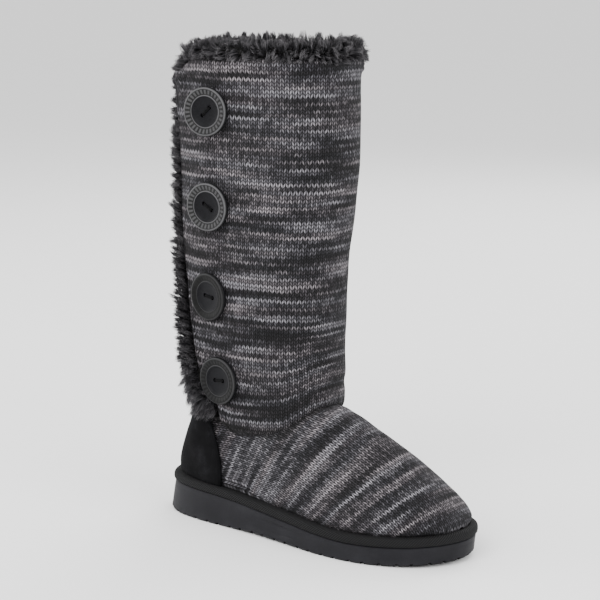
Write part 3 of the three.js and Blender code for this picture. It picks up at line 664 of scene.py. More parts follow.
class Shader:
    """A material made from expressions."""

    def __init__(self, name: str) -> None:
        """Starts a material with a plain shader.

        Args:
            name: The material's name.
        """
        self.material = bpy.data.materials.new(name)
        self.material.use_nodes = True
        self.tree = self.material.node_tree
        self.tree.nodes.clear()
        self.body = self.tree.nodes.new("ShaderNodeBsdfPrincipled")
        out = self.tree.nodes.new("ShaderNodeOutputMaterial")
        self.tree.links.new(self.body.outputs[0], out.inputs[0])

    def node(self, kind: str, settings: dict[str, Any], inputs: dict[Any, Any], output: Any = 0) -> Wire:
        """Adds a node.

        Args:
            kind: The node's type.
            settings: Its properties; "stops" gives a ramp's places and colours.
            inputs: Value or wire of each input, by name or number.
            output: Which output is meant.

        Returns:
            The output.
        """
        made = self.tree.nodes.new(kind)
        for key, value in settings.items():
            if key == "stops":
                for i, (place, colour) in enumerate(value):
                    stops = made.color_ramp.elements
                    stop = stops[i] if i < 2 else stops.new(place)
                    stop.position, stop.color = place, (*colour, 1)
            else:
                setattr(made, key, value)
        for key, value in inputs.items():
            self.join(made.inputs[key], value)
        return Wire(self, made.outputs[output])

    def join(self, socket: bpy.types.NodeSocket, value: Any) -> None:
        """Links a wire to an input, or sets its value."""
        if isinstance(value, Wire):
            self.tree.links.new(value.socket, socket)
        elif isinstance(value, tuple) and len(socket.default_value) == 4:
            socket.default_value = (*value, 1)
        else:
            socket.default_value = value

    def map(self) -> tuple[Wire, Wire]:
        """Place on the piece's own map."""
        x, y, _ = self.node("ShaderNodeUVMap", {"uv_map": "map"}, {}).split()
        return x, y

    def place(self) -> Wire:
        """Place on the object in metres."""
        return self.node("ShaderNodeTexCoord", {}, {}, "Object")

    def hidden(self) -> Wire:
        """Painted shade in a seam or a notch, from 0 to 1."""
        return self.node("ShaderNodeAttribute", {"attribute_name": "hidden"}, {}, "Fac")

    def vector(self, x: Any, y: Any, z: Any) -> Wire:
        """A vector of three values."""
        return self.node("ShaderNodeCombineXYZ", {}, {0: x, 1: y, 2: z})

    def noise(self, at: Wire, scale: float, detail: float = 2, rough: float = 0.5) -> Wire:
        """Soft noise about a half.

        Args:
            at: Where it is read.
            scale: Waves per unit.
            detail: How many finer layers it has.
            rough: Strength of the finer layers.

        Returns:
            The noise's height.
        """
        inputs = {"Vector": at, "Scale": scale, "Detail": detail, "Roughness": rough}
        return self.node("ShaderNodeTexNoise", {}, inputs)

    def chance(self, x: Any, y: Any) -> Wire:
        """An even random number for each whole x and y."""
        settings = {"noise_dimensions": "2D"}
        return self.node("ShaderNodeTexWhiteNoise", settings, {"Vector": self.vector(x, y, 0)})

    def colours(self, value: Wire, stops: list[tuple[float, Colour]]) -> Wire:
        """A colour read off a ramp."""
        return self.node("ShaderNodeValToRGB", {"stops": stops}, {0: value})

    def blend(self, share: Any, a: Any, b: Any, how: str = "MIX") -> Wire:
        """Mixes two colours.

        Args:
            share: How much of the second.
            a: The first colour.
            b: The second colour.
            how: Way of mixing.

        Returns:
            The mixed colour.
        """
        settings = {"data_type": "RGBA", "blend_type": how}
        return self.node("ShaderNodeMix", settings, {0: share, 6: a, 7: b}, 2)

    def shade(self, colour: Any, share: Wire) -> Wire:
        """A colour darkened by a share from 0 to 1."""
        return self.blend(1.0, colour, self.vector(share, share, share), "MULTIPLY")

    def relief(self, height: Wire, depth: float, strength: float = 1.0, under: Wire | None = None) -> Wire:
        """Fine relief.

        Args:
            height: Height from 0 to 1.
            depth: What a height of 1 stands for, in metres.
            strength: How strongly it shows.
            under: Relief that it lies on.

        Returns:
            The bent normal.
        """
        inputs: dict[str, Any] = {"Height": height, "Distance": depth, "Strength": strength}
        if under is not None:
            inputs["Normal"] = under
        return self.node("ShaderNodeBump", {}, inputs)

    def wear(self, **inputs: Any) -> bpy.types.Material:
        """Sets the shader's inputs, an underscore standing for a space.

        Args:
            inputs: Value or wire of each input.

        Returns:
            The material.
        """
        for key, value in inputs.items():
            self.join(self.body.inputs[key.replace("_", " ")], value)
        return self.material


@dataclass(frozen=True)
class KnitFinish:
    """Marled stocking stitch in greys, its yarn changing tone along each row, with painted shade in the gaps
    between stitches and along each seam.
    """

    name: str
    streak: float = 0.06
    seed: float = 0.0
    lift: float = 0.0
    contrast: float = 0.92
    relief: float = 0.0011
    slant: float = 0.92

    def make(self) -> bpy.types.Material:
        """The knitted material, which reads stitches and rows from the map."""
        s = Shader(self.name)
        x, y = s.map()
        fuzz = s.noise(s.place(), 900, 3, 0.6)
        sway = s.noise(s.vector(x * 20, y * 26, self.seed), 1, 1)
        u = x * STITCH_UNIT
        v = y * STITCH_UNIT + (sway - 0.5) * 0.9
        off = ((u.part() - 0.5) * 2).size()
        climb = v - off * self.slant
        row, leg = climb.floor(), (u * 2).floor()
        rise = climb.part()
        across = 1 - ((off * 2 - 1).size() ** 2.2)
        along = 1 - ((rise * 2 - 1).size() ** 3.0)
        leaf = across * along
        yarn = s.noise(s.vector(u * self.streak + row * 0.31, row * 5.3 + self.seed, self.seed), 1, 1.5)
        band = s.noise(s.vector(u * 0.018, row * 0.27, self.seed + 7), 1, 1)
        ply = s.chance(leg + self.seed, row)
        tone = (yarn - 0.5) * (1.7 * self.contrast) + (band - 0.5) * (0.5 * self.contrast)
        tone = tone + (ply - 0.5) * 0.26 + (fuzz - 0.5) * 0.3 + (0.5 + self.lift)
        grey = s.colours(tone, [
            (0.2, (0.0085, 0.0082, 0.0092)), (0.37, (0.0205, 0.0198, 0.022)), (0.5, (0.052, 0.0497, 0.0545)),
            (0.64, (0.125, 0.12, 0.1255)), (0.84, (0.25, 0.242, 0.251)),
        ])
        tint = s.noise(s.vector(u * 0.03, row * 0.4, self.seed + 21), 1, 0).ramp(0.4, 0.62)
        warm = s.blend(tint, (0.968, 0.968, 1.022), (1.03, 0.968, 0.992))
        grey = s.blend(1.0, grey, warm, "MULTIPLY")
        # Painted shade: the gaps between the stitches are darkened, and so is each seam marked on the piece;
        # the last factor dims all of it evenly.
        grey_with_painted_shade = s.shade(grey, ((leaf ** 1.6) * 0.95 + 0.05) * (1 - s.hidden()) * 0.93)
        fine = s.relief(fuzz, 0.0002, 0.35)
        normal = s.relief(leaf.ramp(-0.1, 1.1), self.relief, 0.75, fine)
        return s.wear(Base_Color=grey_with_painted_shade, Roughness=0.95, Specular_IOR_Level=0.2, Normal=normal)


@dataclass(frozen=True)
class SuedeFinish:
    """Brushed black suede, faintly scuffed."""

    name: str = "black suede"

    def make(self) -> bpy.types.Material:
        """The suede material."""
        s = Shader(self.name)
        at = s.place()
        nap = s.noise(at, 1500, 4, 0.7)
        scuff = s.noise(at, 55, 5, 0.65)
        tone = nap * 0.35 + scuff * 0.65
        colour = s.colours(tone, [
            (0.34, (0.0018, 0.0018, 0.002)), (0.54, (0.0036, 0.0036, 0.0041)),
            (0.74, (0.014, 0.014, 0.0155)),
        ])
        return s.wear(
            Base_Color=colour, Roughness=0.95, Specular_IOR_Level=0.05, Sheen_Weight=0.005,
            Sheen_Roughness=0.4, Normal=s.relief(nap, 0.00035, 0.5),
        )


@dataclass(frozen=True)
class RubberFinish:
    """Matt moulded rubber, dusty towards the floor, with painted shade in each notch along its bottom edge.
    """

    name: str = "charcoal rubber"

    def make(self) -> bpy.types.Material:
        """The rubber material."""
        s = Shader(self.name)
        at = s.place()
        grain = s.noise(at, 1400, 3, 0.6)
        cloud = s.noise(at, 38, 4, 0.6)
        _, _, z = at.split()
        low = 1 - z.ramp(0.0, 0.007)
        tone = cloud * 0.7 + grain * 0.3 + low * 0.05
        colour = s.colours(tone, [
            (0.3, (0.006, 0.0059, 0.007)), (0.5, (0.0094, 0.0092, 0.0109)), (0.72, (0.0168, 0.0165, 0.0189)),
        ])
        # Painted shade: each notch marked on the piece is darkened.
        colour = s.shade(colour, 1 - s.hidden() * 0.9)
        return s.wear(
            Base_Color=colour, Roughness=cloud * 0.2 + 0.45, Specular_IOR_Level=0.09,
            Normal=s.relief(grain, 0.00012, 0.5),
        )


@dataclass(frozen=True)
class TapeFinish:
    """Black twill tape with slanting ribs, their grooves darker and their tops lighter as painted shade and
    painted highlight.
    """

    name: str = "black twill"

    def make(self) -> bpy.types.Material:
        """The twill material; the map runs in ribs along the tape."""
        s = Shader(self.name)
        x, y = s.map()
        rib = (x * 300 - y * 7).wave() * 0.5 + 0.5
        fuzz = s.noise(s.place(), 1600, 3, 0.6)
        # Painted shade and highlight: the colour follows the ribs, dark in their grooves and light on their
        # tops.
        tone = rib * 0.75 + fuzz * 0.25
        colour = s.colours(tone, [
            (0.1, (0.0005, 0.0005, 0.0005)), (0.55, (0.0016, 0.0016, 0.0017)), (0.9, (0.017, 0.017, 0.018)),
        ])
        return s.wear(
            Base_Color=colour, Roughness=0.85, Specular_IOR_Level=0.15,
            Normal=s.relief(rib * 0.85 + fuzz * 0.15, 0.0006, 0.8),
        )


@dataclass(frozen=True)
class FurFinish:
    """Deep black-brown pile, lighter at its tips."""

    name: str = "dark fur"
    base: bool = False

    def make(self) -> bpy.types.Material:
        """The fur material; the map's x is a hair's number and its y runs to the tip."""
        s = Shader(self.name)
        fuzz = s.noise(s.place(), 260, 3, 0.6)
        if self.base:
            colour = s.colours(fuzz, [(0.3, (0.002, 0.002, 0.002)), (0.7, (0.010, 0.0095, 0.009))])
            return s.wear(Base_Color=colour, Roughness=0.95, Specular_IOR_Level=0.1,
                          Normal=s.relief(fuzz, 0.003, 0.8))
        x, y = s.map()
        hair = s.chance((x * HAIR_NUMBERS).floor(), 3)
        tone = hair * 0.35 + y * 0.4 + (fuzz - 0.3) * 0.6
        colour = s.colours(tone, [
            (0.1, (0.004, 0.004, 0.0046)), (0.42, (0.017, 0.0164, 0.0184)),
            (0.72, (0.072, 0.0685, 0.073)), (1.0, (0.2, 0.189, 0.198)),
        ])
        return s.wear(Base_Color=colour, Roughness=0.6, Specular_IOR_Level=0.2)


@dataclass(frozen=True)
class FeltFinish:
    """Soft dark felt and fleece for the inside."""

    name: str = "dark felt"
    tone: float = 0.012

    def make(self) -> bpy.types.Material:
        """The felt material."""
        s = Shader(self.name)
        fuzz = s.noise(s.place(), 420, 5, 0.7)
        c = self.tone
        colour = s.colours(fuzz, [(0.3, (c * 0.4, c * 0.38, c * 0.4)), (0.75, (c * 2.6, c * 2.4, c * 2.3))])
        return s.wear(Base_Color=colour, Roughness=0.95, Specular_IOR_Level=0.15,
                      Normal=s.relief(fuzz, 0.002, 0.9))


class Rim(Enum):
    """How a button's rim looks: its tone, and how light its spokes and its painted edge highlights are."""

    WORN = (0.013, 0.6)
    DARK = (0.0055, 0.1)
    PLAIN = (0.005, 0.0)


@dataclass(frozen=True)
class ButtonFinish:
    """Charcoal resin whose rim is rubbed and marked with plain spokes, with painted highlights on the dish's
    ridge and the outer edge.
    """

    rim: Rim

    def make(self) -> bpy.types.Material:
        """The resin; the map's x is the share of a turn and its y the share of the radius."""
        s = Shader(f"button resin {self.rim.name.lower()}")
        x, y = s.map()
        fuzz = s.noise(s.place(), 700, 4, 0.65)
        cloud = s.noise(s.place(), 170, 3, 0.6)
        spoke = ((x * 30).wave() * 0.5 + 0.5).ramp(0.35, 0.65)
        spoke = spoke * y.ramp(0.69, 0.73) * (1 - y.ramp(0.86, 0.9))
        band = y.ramp(0.6, 0.66) * (1 - y.ramp(0.985, 1.0))
        tone, light = self.rim.value
        # Painted highlight: thin light lines on the ridge round the dish and on the rounded outer edge.
        line = y.ramp(0.61, 0.635) * (1 - y.ramp(0.655, 0.68))
        line = line + y.ramp(0.9, 0.925) * (1 - y.ramp(0.96, 0.985))
        rubbed = s.colours(cloud * 0.6 + fuzz * 0.4, [
            (0.35, (tone * 0.55, tone * 0.55, tone * 0.58)), (0.68, (tone * 1.35, tone * 1.34, tone * 1.33)),
        ])
        base = s.colours(fuzz, [(0.3, (0.003, 0.003, 0.0037)), (0.7, (0.0064, 0.0064, 0.0076))])
        colour = s.blend(band, base, rubbed)
        colour = s.blend(spoke * light, colour, (0.062, 0.062, 0.064))
        # Lays the painted highlight lines over the rim.
        colour = s.blend(line * (light * 0.85 + 0.15), colour, (0.085, 0.085, 0.088))
        return s.wear(
            Base_Color=colour, Roughness=fuzz * 0.3 + 0.3, Specular_IOR_Level=0.07,
            Normal=s.relief(fuzz * 0.15 + spoke * (light + 0.1), 0.0005, 0.8),
        )


@dataclass(frozen=True)
class ThreadFinish:
    """Black waxed thread."""

    name: str = "black thread"

    def make(self) -> bpy.types.Material:
        """The thread material."""
        s = Shader(self.name)
        x, y = s.map()
        twist = (x * 9 + y * 3).wave() * 0.5 + 0.5
        return s.wear(
            Base_Color=s.colours(twist, [(0.1, (0.0012, 0.0012, 0.0012)), (0.9, (0.009, 0.009, 0.0095))]),
            Roughness=0.8, Specular_IOR_Level=0.05, Normal=s.relief(twist, 0.0002, 0.6),
        )


@dataclass(frozen=True)
class Crease:
    """A soft trough of the shaft, or a ridge where its depth is negative."""

    z: float
    degrees: float
    half_height: float
    half_width: float
    depth: float
    slope: float = 0.0

    def at(self, z: Array, degrees: Array) -> Array:
        """How deep the trough is at a height and an angle from the front."""
        off = (degrees - self.degrees + 540) % 360 - 180
        line = bell(z - self.z - self.slope * off, self.half_height)
        return self.depth * line * bell(off, self.half_width)


@dataclass
class Shaft:
    """The knitted leg of the boot with its folded hem and the flap's rolled edge.

    wale and course are the width of a stitch and the height of a row. hem is how far the folded hem
    lies in at each distance below the collar, and lift how far the flap's edge stands out at each
    height. The two shares are where the edge's side and the roll over the collar begin. tucked is
    how far the leg runs on below the ankle's seam, and down inside the collar.
    """

    wale: float = 3.75
    course: float = 2.75
    edge_round: float = 2.2
    hem_line: float = 6.3
    edge_share: float = 0.965
    hem_share: float = 0.955
    tucked: float = 6.0
    hem_wall: float = 2.2
    hem: Curve = field(default_factory=lambda: Curve(
        [0, 1.65, 4.95, 8.8, 11, 14], [0.6, -1.61, -2.3, -1.955, -0.46, 0],
    ))
    lift_reach: float = 30.0
    lift: Curve = field(default_factory=lambda: Curve(
        [95, 147, 175, 199, 228, 272, 302, 317, 331, 346, 352],
        [1.2, 2.2, 1.8, 2.4, 2.6, 2.9, 3.7, 4.8, 6.2, 3.4, 2.2],
    ))
    creases: tuple[Crease, ...] = (
        Crease(112, 12, 5, 45, 1.3, -0.05), Crease(124, -20, 7, 40, -0.8, -0.04),
        Crease(104, -70, 6, 34, 1.0, 0.05), Crease(121, -62, 7, 30, -0.7, 0.06),
        Crease(146, -35, 9, 55, 0.7, 0.03), Crease(178, -60, 10, 40, 0.6, -0.05),
        Crease(206, 10, 12, 50, 0.5, 0.02), Crease(246, -75, 11, 32, 0.7, 0.06),
        Crease(268, -30, 14, 40, -0.6, 0.03), Crease(300, -80, 10, 26, 0.6, -0.06),
        Crease(118, 100, 6, 50, 1.1, 0.05), Crease(150, 120, 9, 45, 0.8, -0.05),
        Crease(205, 95, 12, 50, 0.7, 0.03), Crease(262, 130, 14, 50, 0.7, 0.02),
        Crease(128, 175, 7, 30, 0.8, 0.02), Crease(190, 178, 10, 35, 0.7, -0.04),
    )

    def turn(self, u: Array) -> Array:
        """Share of the turn round the shaft, closer near the flap's edge."""
        p = np.clip(u / self.edge_share, 0, 1)
        return p - 0.72 * np.sin(2 * np.pi * p) / (2 * np.pi)

    def height(self, u: Array, v: Array) -> Pair:
        """Height of a point, and its share of the roll over the collar's top."""
        p = np.clip(v / self.hem_share, 0, 1)
        p = p - 0.5 * np.sin(2 * np.pi * p) / (2 * np.pi)
        return FORM.levels(self.turn(u), p, self.tucked, 0.0), stretch(v, self.hem_share)

    def shape(self, u: Array, v: Array) -> Points:
        """Points of the knitted leg.

        Args:
            u: Share of the way round from the flap's edge, the last of it up the edge's side.
            v: Share of the way up, the last of it over the collar and down inside.

        Returns:
            The points' x, y and z.
        """
        turn = self.turn(u)
        z, roll = self.height(u, v)
        degrees = FORM.bearing(z, turn)
        below = FORM.top(turn) - z
        over = z - FORM.seam_z(degrees)
        inset = FORM.tuck(over) + self.hem(below)
        inset = inset + 0.55 * bell(below - self.hem_line, 0.9)
        fade = smooth(over / 12) * smooth((below - 8) / 18)
        for crease in self.creases:
            inset = inset + crease.at(z, degrees) * fade
        inset = inset + 0.45 * ripple(degrees / 38, z / 26, 1.7) * fade
        away = turn * FORM.girth
        near = np.clip(1 - away / self.edge_round, 0, 1)
        inset = inset + self.edge_round * (1 - np.sqrt(1 - near**2))
        inset = inset + 0.5 * bell(away - 6.5, 0.9) - 0.35 * bell(away - 3.4, 1.6)
        side = stretch(u, self.edge_share)
        sunk = np.where(side > 0, mix(FORM.flap_step + 0.4, self.edge_round, side), FORM.sunk(turn))
        raised = np.where(side > 0, side**1.5, 1 - smooth(away / self.lift_reach))
        inset = sunk + inset - raised * self.lift(z)
        degrees = degrees - np.sin(np.pi * side) * 0.9
        over_top = np.clip(roll * 2, 0, 1)
        z = z + 0.9 * np.sin(np.pi * over_top) - self.tucked * np.clip(roll * 2 - 1, 0, 1)
        return FORM.shaft_point(z, degrees, inset + self.hem_wall * over_top)

    def stitches(self, u: Array, v: Array) -> Pair:
        """Stitches along and rows up to a point, as places on the map."""
        turn = self.turn(u)
        z, roll = self.height(u, v)
        degrees = FORM.bearing(z, turn)
        ring = np.linspace(-180, 320, 2001)
        length = run_length(*FORM.shaft_point(np.full_like(ring, 230.0), ring, 0))
        seam = FORM.seam_z(degrees)
        droop = (1 - smooth((z - seam) / 70)) * (seam - 80)
        rows = (z - droop + roll * 8) / self.course
        side = stretch(u, self.edge_share)
        return (np.interp(degrees, ring, length) + side * 4) / self.wale / STITCH_UNIT, rows / STITCH_UNIT

    def build(self) -> None:
        """Builds and dresses the leg."""
        leg = Maker.surface("knitted leg", 380, 230, self.shape, self.stitches, merge=1e-5)
        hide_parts("upper")

        def seam_shade(points: Array) -> Array:
            """Painted shade along the ankle's seam."""
            _, degrees = FORM.round_leg(points, 0)
            over = points[:, 2] - FORM.seam_z(degrees)
            return 0.7 * bell(np.maximum(over - 1, 0), 2.2)

        Maker.mark_painted_shade(leg, seam_shade)
        Maker.settle(leg, "marled_knit", KnitFinish("marled knit of the leg").make())


@dataclass
class Foot:
    """The knitted foot, its rows leaning forward over the instep.

    lean is the rows' slant in degrees at each place along the sole. Each crease has its station and
    its place on the foot's arc, its half width along the foot and over the arc, and its depth.
    """

    wale: float = 3.3
    course: float = 2.75
    puff: float = 0.9
    open_from: float = 0.44
    cut_inset: float = 8.5
    lean: Curve = field(
        default_factory=lambda: Curve([-130, -70, -40, 0, 40, 80, 120], [20, 26, 31, 38, 44, 48, 50])
    )
    creases: tuple[tuple[float, float, float, float, float], ...] = (
        (0.44, 0.22, 0.016, 0.16, 1.3), (0.475, 0.2, 0.018, 0.15, -0.8), (0.50, 0.5, 0.016, 0.16, 0.4),
        (0.535, 0.5, 0.022, 0.2, -0.15), (0.44, 0.78, 0.016, 0.16, 1.2), (0.475, 0.8, 0.02, 0.15, -0.8),
        (0.62, 0.35, 0.03, 0.12, 0.7), (0.7, 0.6, 0.035, 0.14, 0.3), (0.36, 0.12, 0.03, 0.08, 0.9),
    )

    def shape(self, u: Array, v: Array) -> Points:
        """Points of the knitted foot.

        Args:
            u: Share of the arc from the outer side over the crown to the inner side.
            v: Station from the heel to the toe.

        Returns:
            The points' x, y and z.
        """
        a, under = FORM.skirted(u)
        _, _, z = FORM.foot_point(v, a, 0.0)
        _, _, base = FORM.foot_point(v, np.zeros_like(a), 0.0)
        rise = self.puff * bell(z - base - 4.5, 3.5) - 0.5 * bell(z - base, 1.2)
        for station, middle, half, wide, depth in self.creases:
            rise = rise - depth * bell(v - station, half) * bell(a - middle, wide)
        rise = rise - 0.4 * ripple(a * 9, v * 13, 0.6) * smooth((z - base - 3) / 8)
        x, y, z = FORM.raised(v, a, rise - 1.4 * under)
        return x, y, z - under * (FORM.tape_height - 0.8)

    def stitches(self, u: Array, v: Array) -> Pair:
        """Stitches over the arc and rows along the foot, as places on the map."""
        arc, _ = FORM.skirted(u)
        x, _, z = FORM.foot_point(v, arc, 0.0)
        slope = lambda foot: np.tan(np.radians(self.lean(foot)))
        behind = lambda foot: foot + (z - FORM.tape_top(foot)) * slope(foot) <= x
        start = halved(behind, np.full_like(x, -160.0), np.full_like(x, 140.0))
        along = np.linspace(-160, 140, 601)
        run = np.concatenate([[0], np.cumsum(np.cos(np.radians(self.lean(along[1:]))) * 0.5)])
        rows = np.interp(start, along, run) / self.course
        stations, steps = 100, 160
        t, ring = np.linspace(0, 1, stations + 1), np.linspace(0, 1, steps + 1)
        length = run_length(*FORM.foot_point(*np.meshgrid(t, ring, indexing="ij"), 0.0))
        middle = length[:, [steps // 2]]
        half = middle[int(self.open_from * stations)]
        front = t[:, None] >= self.open_from
        outer = np.where(front, length - middle, length - half)
        inner = np.where(front, length - middle, half - (length[:, [-1]] - length))
        length = np.where(ring[None, :] < 0.5, outer, inner)
        i = np.clip((v * stations).astype(int), 0, stations - 1)
        j = np.clip((arc * steps).astype(int), 0, steps - 1)
        f, g = v * stations - i, arc * steps - j
        near = mix(length[i, j], length[i, j + 1], g)
        far = mix(length[i + 1, j], length[i + 1, j + 1], g)
        return (mix(near, far, f) / self.wale + 60) / STITCH_UNIT, rows / STITCH_UNIT

    @staticmethod
    def open_top(piece: bpy.types.Object, inset: float) -> None:
        """Cuts away what lies inside the leg, so that the boot stays hollow.

        Args:
            piece: A skin of the foot.
            inset: How far inside the leg's surface the cut runs.
        """
        bm = bmesh.new()
        bm.from_mesh(piece.data)
        co = np.array([v.co for v in bm.verts]) * 1000 - np.array(FORM.offset)
        out, degrees = FORM.round_leg(co, inset)
        inside = (out < 1) & (co[:, 2] > FORM.seam_z(degrees) - 9)
        bm.verts.ensure_lookup_table()
        bmesh.ops.delete(bm, geom=[bm.verts[i] for i in np.nonzero(inside)[0]], context="VERTS")
        bm.to_mesh(piece.data)
        bm.free()

    def build(self) -> None:
        """Builds and dresses the foot."""
        foot = Maker.surface("knitted foot", 230, 240, self.shape, self.stitches)
        self.open_top(foot, self.cut_inset)
        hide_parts("upper")

        def seam_shade(points: Array) -> Array:
            """Painted shade in the ankle's seam, behind the tape and along the knit just above it."""
            out, degrees = FORM.round_leg(points, 0)
            under = np.maximum(FORM.seam_z(degrees) - 3 - points[:, 2], 0)
            near = (np.maximum(out, 1) ** 0.4 - 1) * 58 + under
            tape = points[:, 2] - FORM.tape_top(points[:, 0])
            return np.maximum(0.7 * bell(near, 2.2), 0.6 * bell(np.maximum(tape, 0), 1.6))

        Maker.mark_painted_shade(foot, seam_shade)
        knit = KnitFinish(
            "marled knit of the foot", streak=0.05, seed=3.3, lift=0.05, contrast=0.74, relief=0.0009
        )
        Maker.settle(foot, "marled_knit", knit.make())


@dataclass
class Lining:
    """The fleece inside of the leg and of the foot."""

    depth: float = 2.7
    cut_inset: float = 7.5

    def leg_shape(self, u: Array, v: Array) -> Points:
        """Points of the leg's inside, from the ankle up to the collar."""
        z = FORM.levels(u, v, 3.0, 1.5)
        degrees = FORM.bearing(z, u)
        tuck = FORM.tuck(z - FORM.seam_z(degrees))
        return FORM.shaft_point(z, degrees, self.depth + FORM.lapped(u) + tuck)

    def foot_shape(self, u: Array, v: Array) -> Points:
        """Points of the foot's inside."""
        arc, under = FORM.skirted(u)
        x, y, z = FORM.foot_point(mix(0.02, 0.98, v), arc, -self.depth)
        return x, y, z - under * FORM.tape_height

    def build(self) -> None:
        """Builds and dresses the inside."""
        felt = FeltFinish("dark fleece").make()
        leg = Maker.surface("leg lining", 150, 60, self.leg_shape, merge=1e-5, flip=True)
        foot = Maker.surface("foot lining", 90, 90, self.foot_shape, flip=True)
        Foot.open_top(foot, self.cut_inset)
        for piece in (leg, foot):
            Maker.settle(piece, "fur", felt)


@dataclass
class Counter:
    """The suede shell over the heel."""

    foot: float = 30.0
    top: float = 80.0
    front_foot: float = -64.0
    front_top: float = -74.0
    bow: float = 8.0
    thickness: float = 1.5

    def front(self, z: Array) -> Array:
        """Place of the front edge at a height."""
        low = FORM.tape_top(self.front_foot)
        t = np.clip((z - low) / (self.top - low), 0, 1)
        bowed = 2 * t * (1 - t) * (self.front_foot + self.bow)
        return (1 - t) ** 2 * self.front_foot + bowed + t**2 * self.front_top

    def shape(self, u: Array, v: Array) -> Points:
        """Points of the shell's outside.

        Args:
            u: Share of the way from the outer front edge round the heel to the inner one.
            v: Share of the way up from the tape.

        Returns:
            The points' x, y and z.
        """
        q = u * 2 - 1
        z = mix(self.foot, self.top, v)
        zero = np.zeros_like(u)
        for _ in range(4):
            start = halved(lambda t: FORM.foot_point(t, zero + 0.5, 0.0)[2] < z, zero, zero + 0.6)
            end = halved(lambda t: self.at(t, z, q)[0] < self.front(z), start, zero + 0.75)
            t = mix(start, end, q**2)
            base = FORM.tape_top(FORM.foot_point(t, zero, 0.0)[0])
            z = mix(base + 0.15, self.top + 1.5 * (1 - q**2), v)
        rise = self.top - self.foot
        away = np.minimum(np.minimum(v, 1 - v) * rise, (1 - np.abs(q)) * 60)
        grow = FORM.gap + self.thickness - 0.9 * np.clip(1 - away / 1.8, 0, 1) ** 2
        grow = grow + 0.25 * ripple(u * 7, v * 4, 2.0) * smooth(away / 8)
        return self.at(t, z, q, grow)

    @staticmethod
    def at(t: Array, z: Array, side: Array, grow: Array | float = 0.0) -> Points:
        """Point of the foot at a station and a height, on the outer or the inner side.

        Args:
            t: Station.
            z: Height.
            side: Below 0 on the outer side.
            grow: Distance outwards.

        Returns:
            The point's x, y and z.
        """
        zero = np.zeros_like(t)
        base = FORM.foot_point(t, zero, 0.0)[2]
        crown = FORM.foot_point(t, zero + 0.5, 0.0)[2]
        up = np.clip((z - base) / np.maximum(crown - base, 1e-6), 0, 1)
        a = np.arcsin(up ** (FORM.square(FORM.station(t)) / 2)) / np.pi
        return FORM.raised(t, np.where(side < 0, a, 1 - a), grow)

    def build(self) -> None:
        """Builds and dresses the shell."""
        shell = Maker.surface("suede counter", 150, 60, self.shape)
        wall = shell.modifiers.new("thickness", "SOLIDIFY")
        wall.thickness, wall.offset = self.thickness / 1000, -1
        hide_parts("heel_counter")
        Maker.settle(shell, "suede", SuedeFinish().make())


@dataclass
class Sole:
    """The rubber unit sole, its taped seam and the insole."""

    tape_proud: float = 1.1
    notch_start: float = 0.9
    notch_top: float = 4.5
    middle: float = -10.0
    section: tuple[tuple[float, float], ...] = (
        (0, 0), (0.6, 0), (0.85, 0.02), (0.97, 0.12), (1, 0.3), (0.995, 0.5), (0.975, 0.7),
        (0.9, 0.87), (0.75, 0.97), (0.5, 1.0), (0, 1), (0, 0),
    )

    def tape_shape(self, u: Array, v: Array) -> Points:
        """Points of the tape, round the sole and round its section."""
        near, far = FORM.seam_line(FORM.gap * 1.5), FORM.moved(lambda x: FORM.flare(x) + self.tape_proud)
        out, up = rows_at(self.section, v)
        i = u * len(near)
        at = np.arange(len(near) + 1)
        read = lambda line, k: np.interp(i, at, np.append(line[:, k], line[0, k]))
        x, y = (mix(read(near, k), read(far, k), out) for k in (0, 1))
        return x, y, FORM.feather(read(near, 0)) + FORM.gap + up * (FORM.tape_height - FORM.gap)

    def build(self) -> None:
        """Builds and dresses the parts underfoot."""
        sole = Maker.dressed_copy("outsole", "rubber sole", 38)

        def notch_shade(points: Array) -> Array:
            """Painted shade deep in each notch along the bottom's edge, where shade falls."""
            edge = FORM.moved(lambda x: np.full_like(x, -self.notch_start))
            angle = lambda p: np.arctan2(p[:, 1], p[:, 0] - self.middle)
            reach = lambda p: np.hypot(p[:, 1], p[:, 0] - self.middle)
            order = np.argsort(angle(edge))
            limit = np.interp(angle(points), angle(edge)[order], reach(edge)[order], period=2 * np.pi)
            return ((reach(points) < limit) & (points[:, 2] < self.notch_top)).astype(float)

        Maker.mark_painted_shade(sole, notch_shade)
        Maker.settle(sole, "sole_rubber", RubberFinish().make())
        tape = Maker.surface("twill tape", 576, 33, self.tape_shape, merge=1e-5, outwards=True)
        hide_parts("welt_tape")
        Maker.settle(tape, "binding_tape", TapeFinish().make())
        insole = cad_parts["insole"]
        Maker.settle(insole, "insole_felt", FeltFinish("insole felt", 0.02).make())


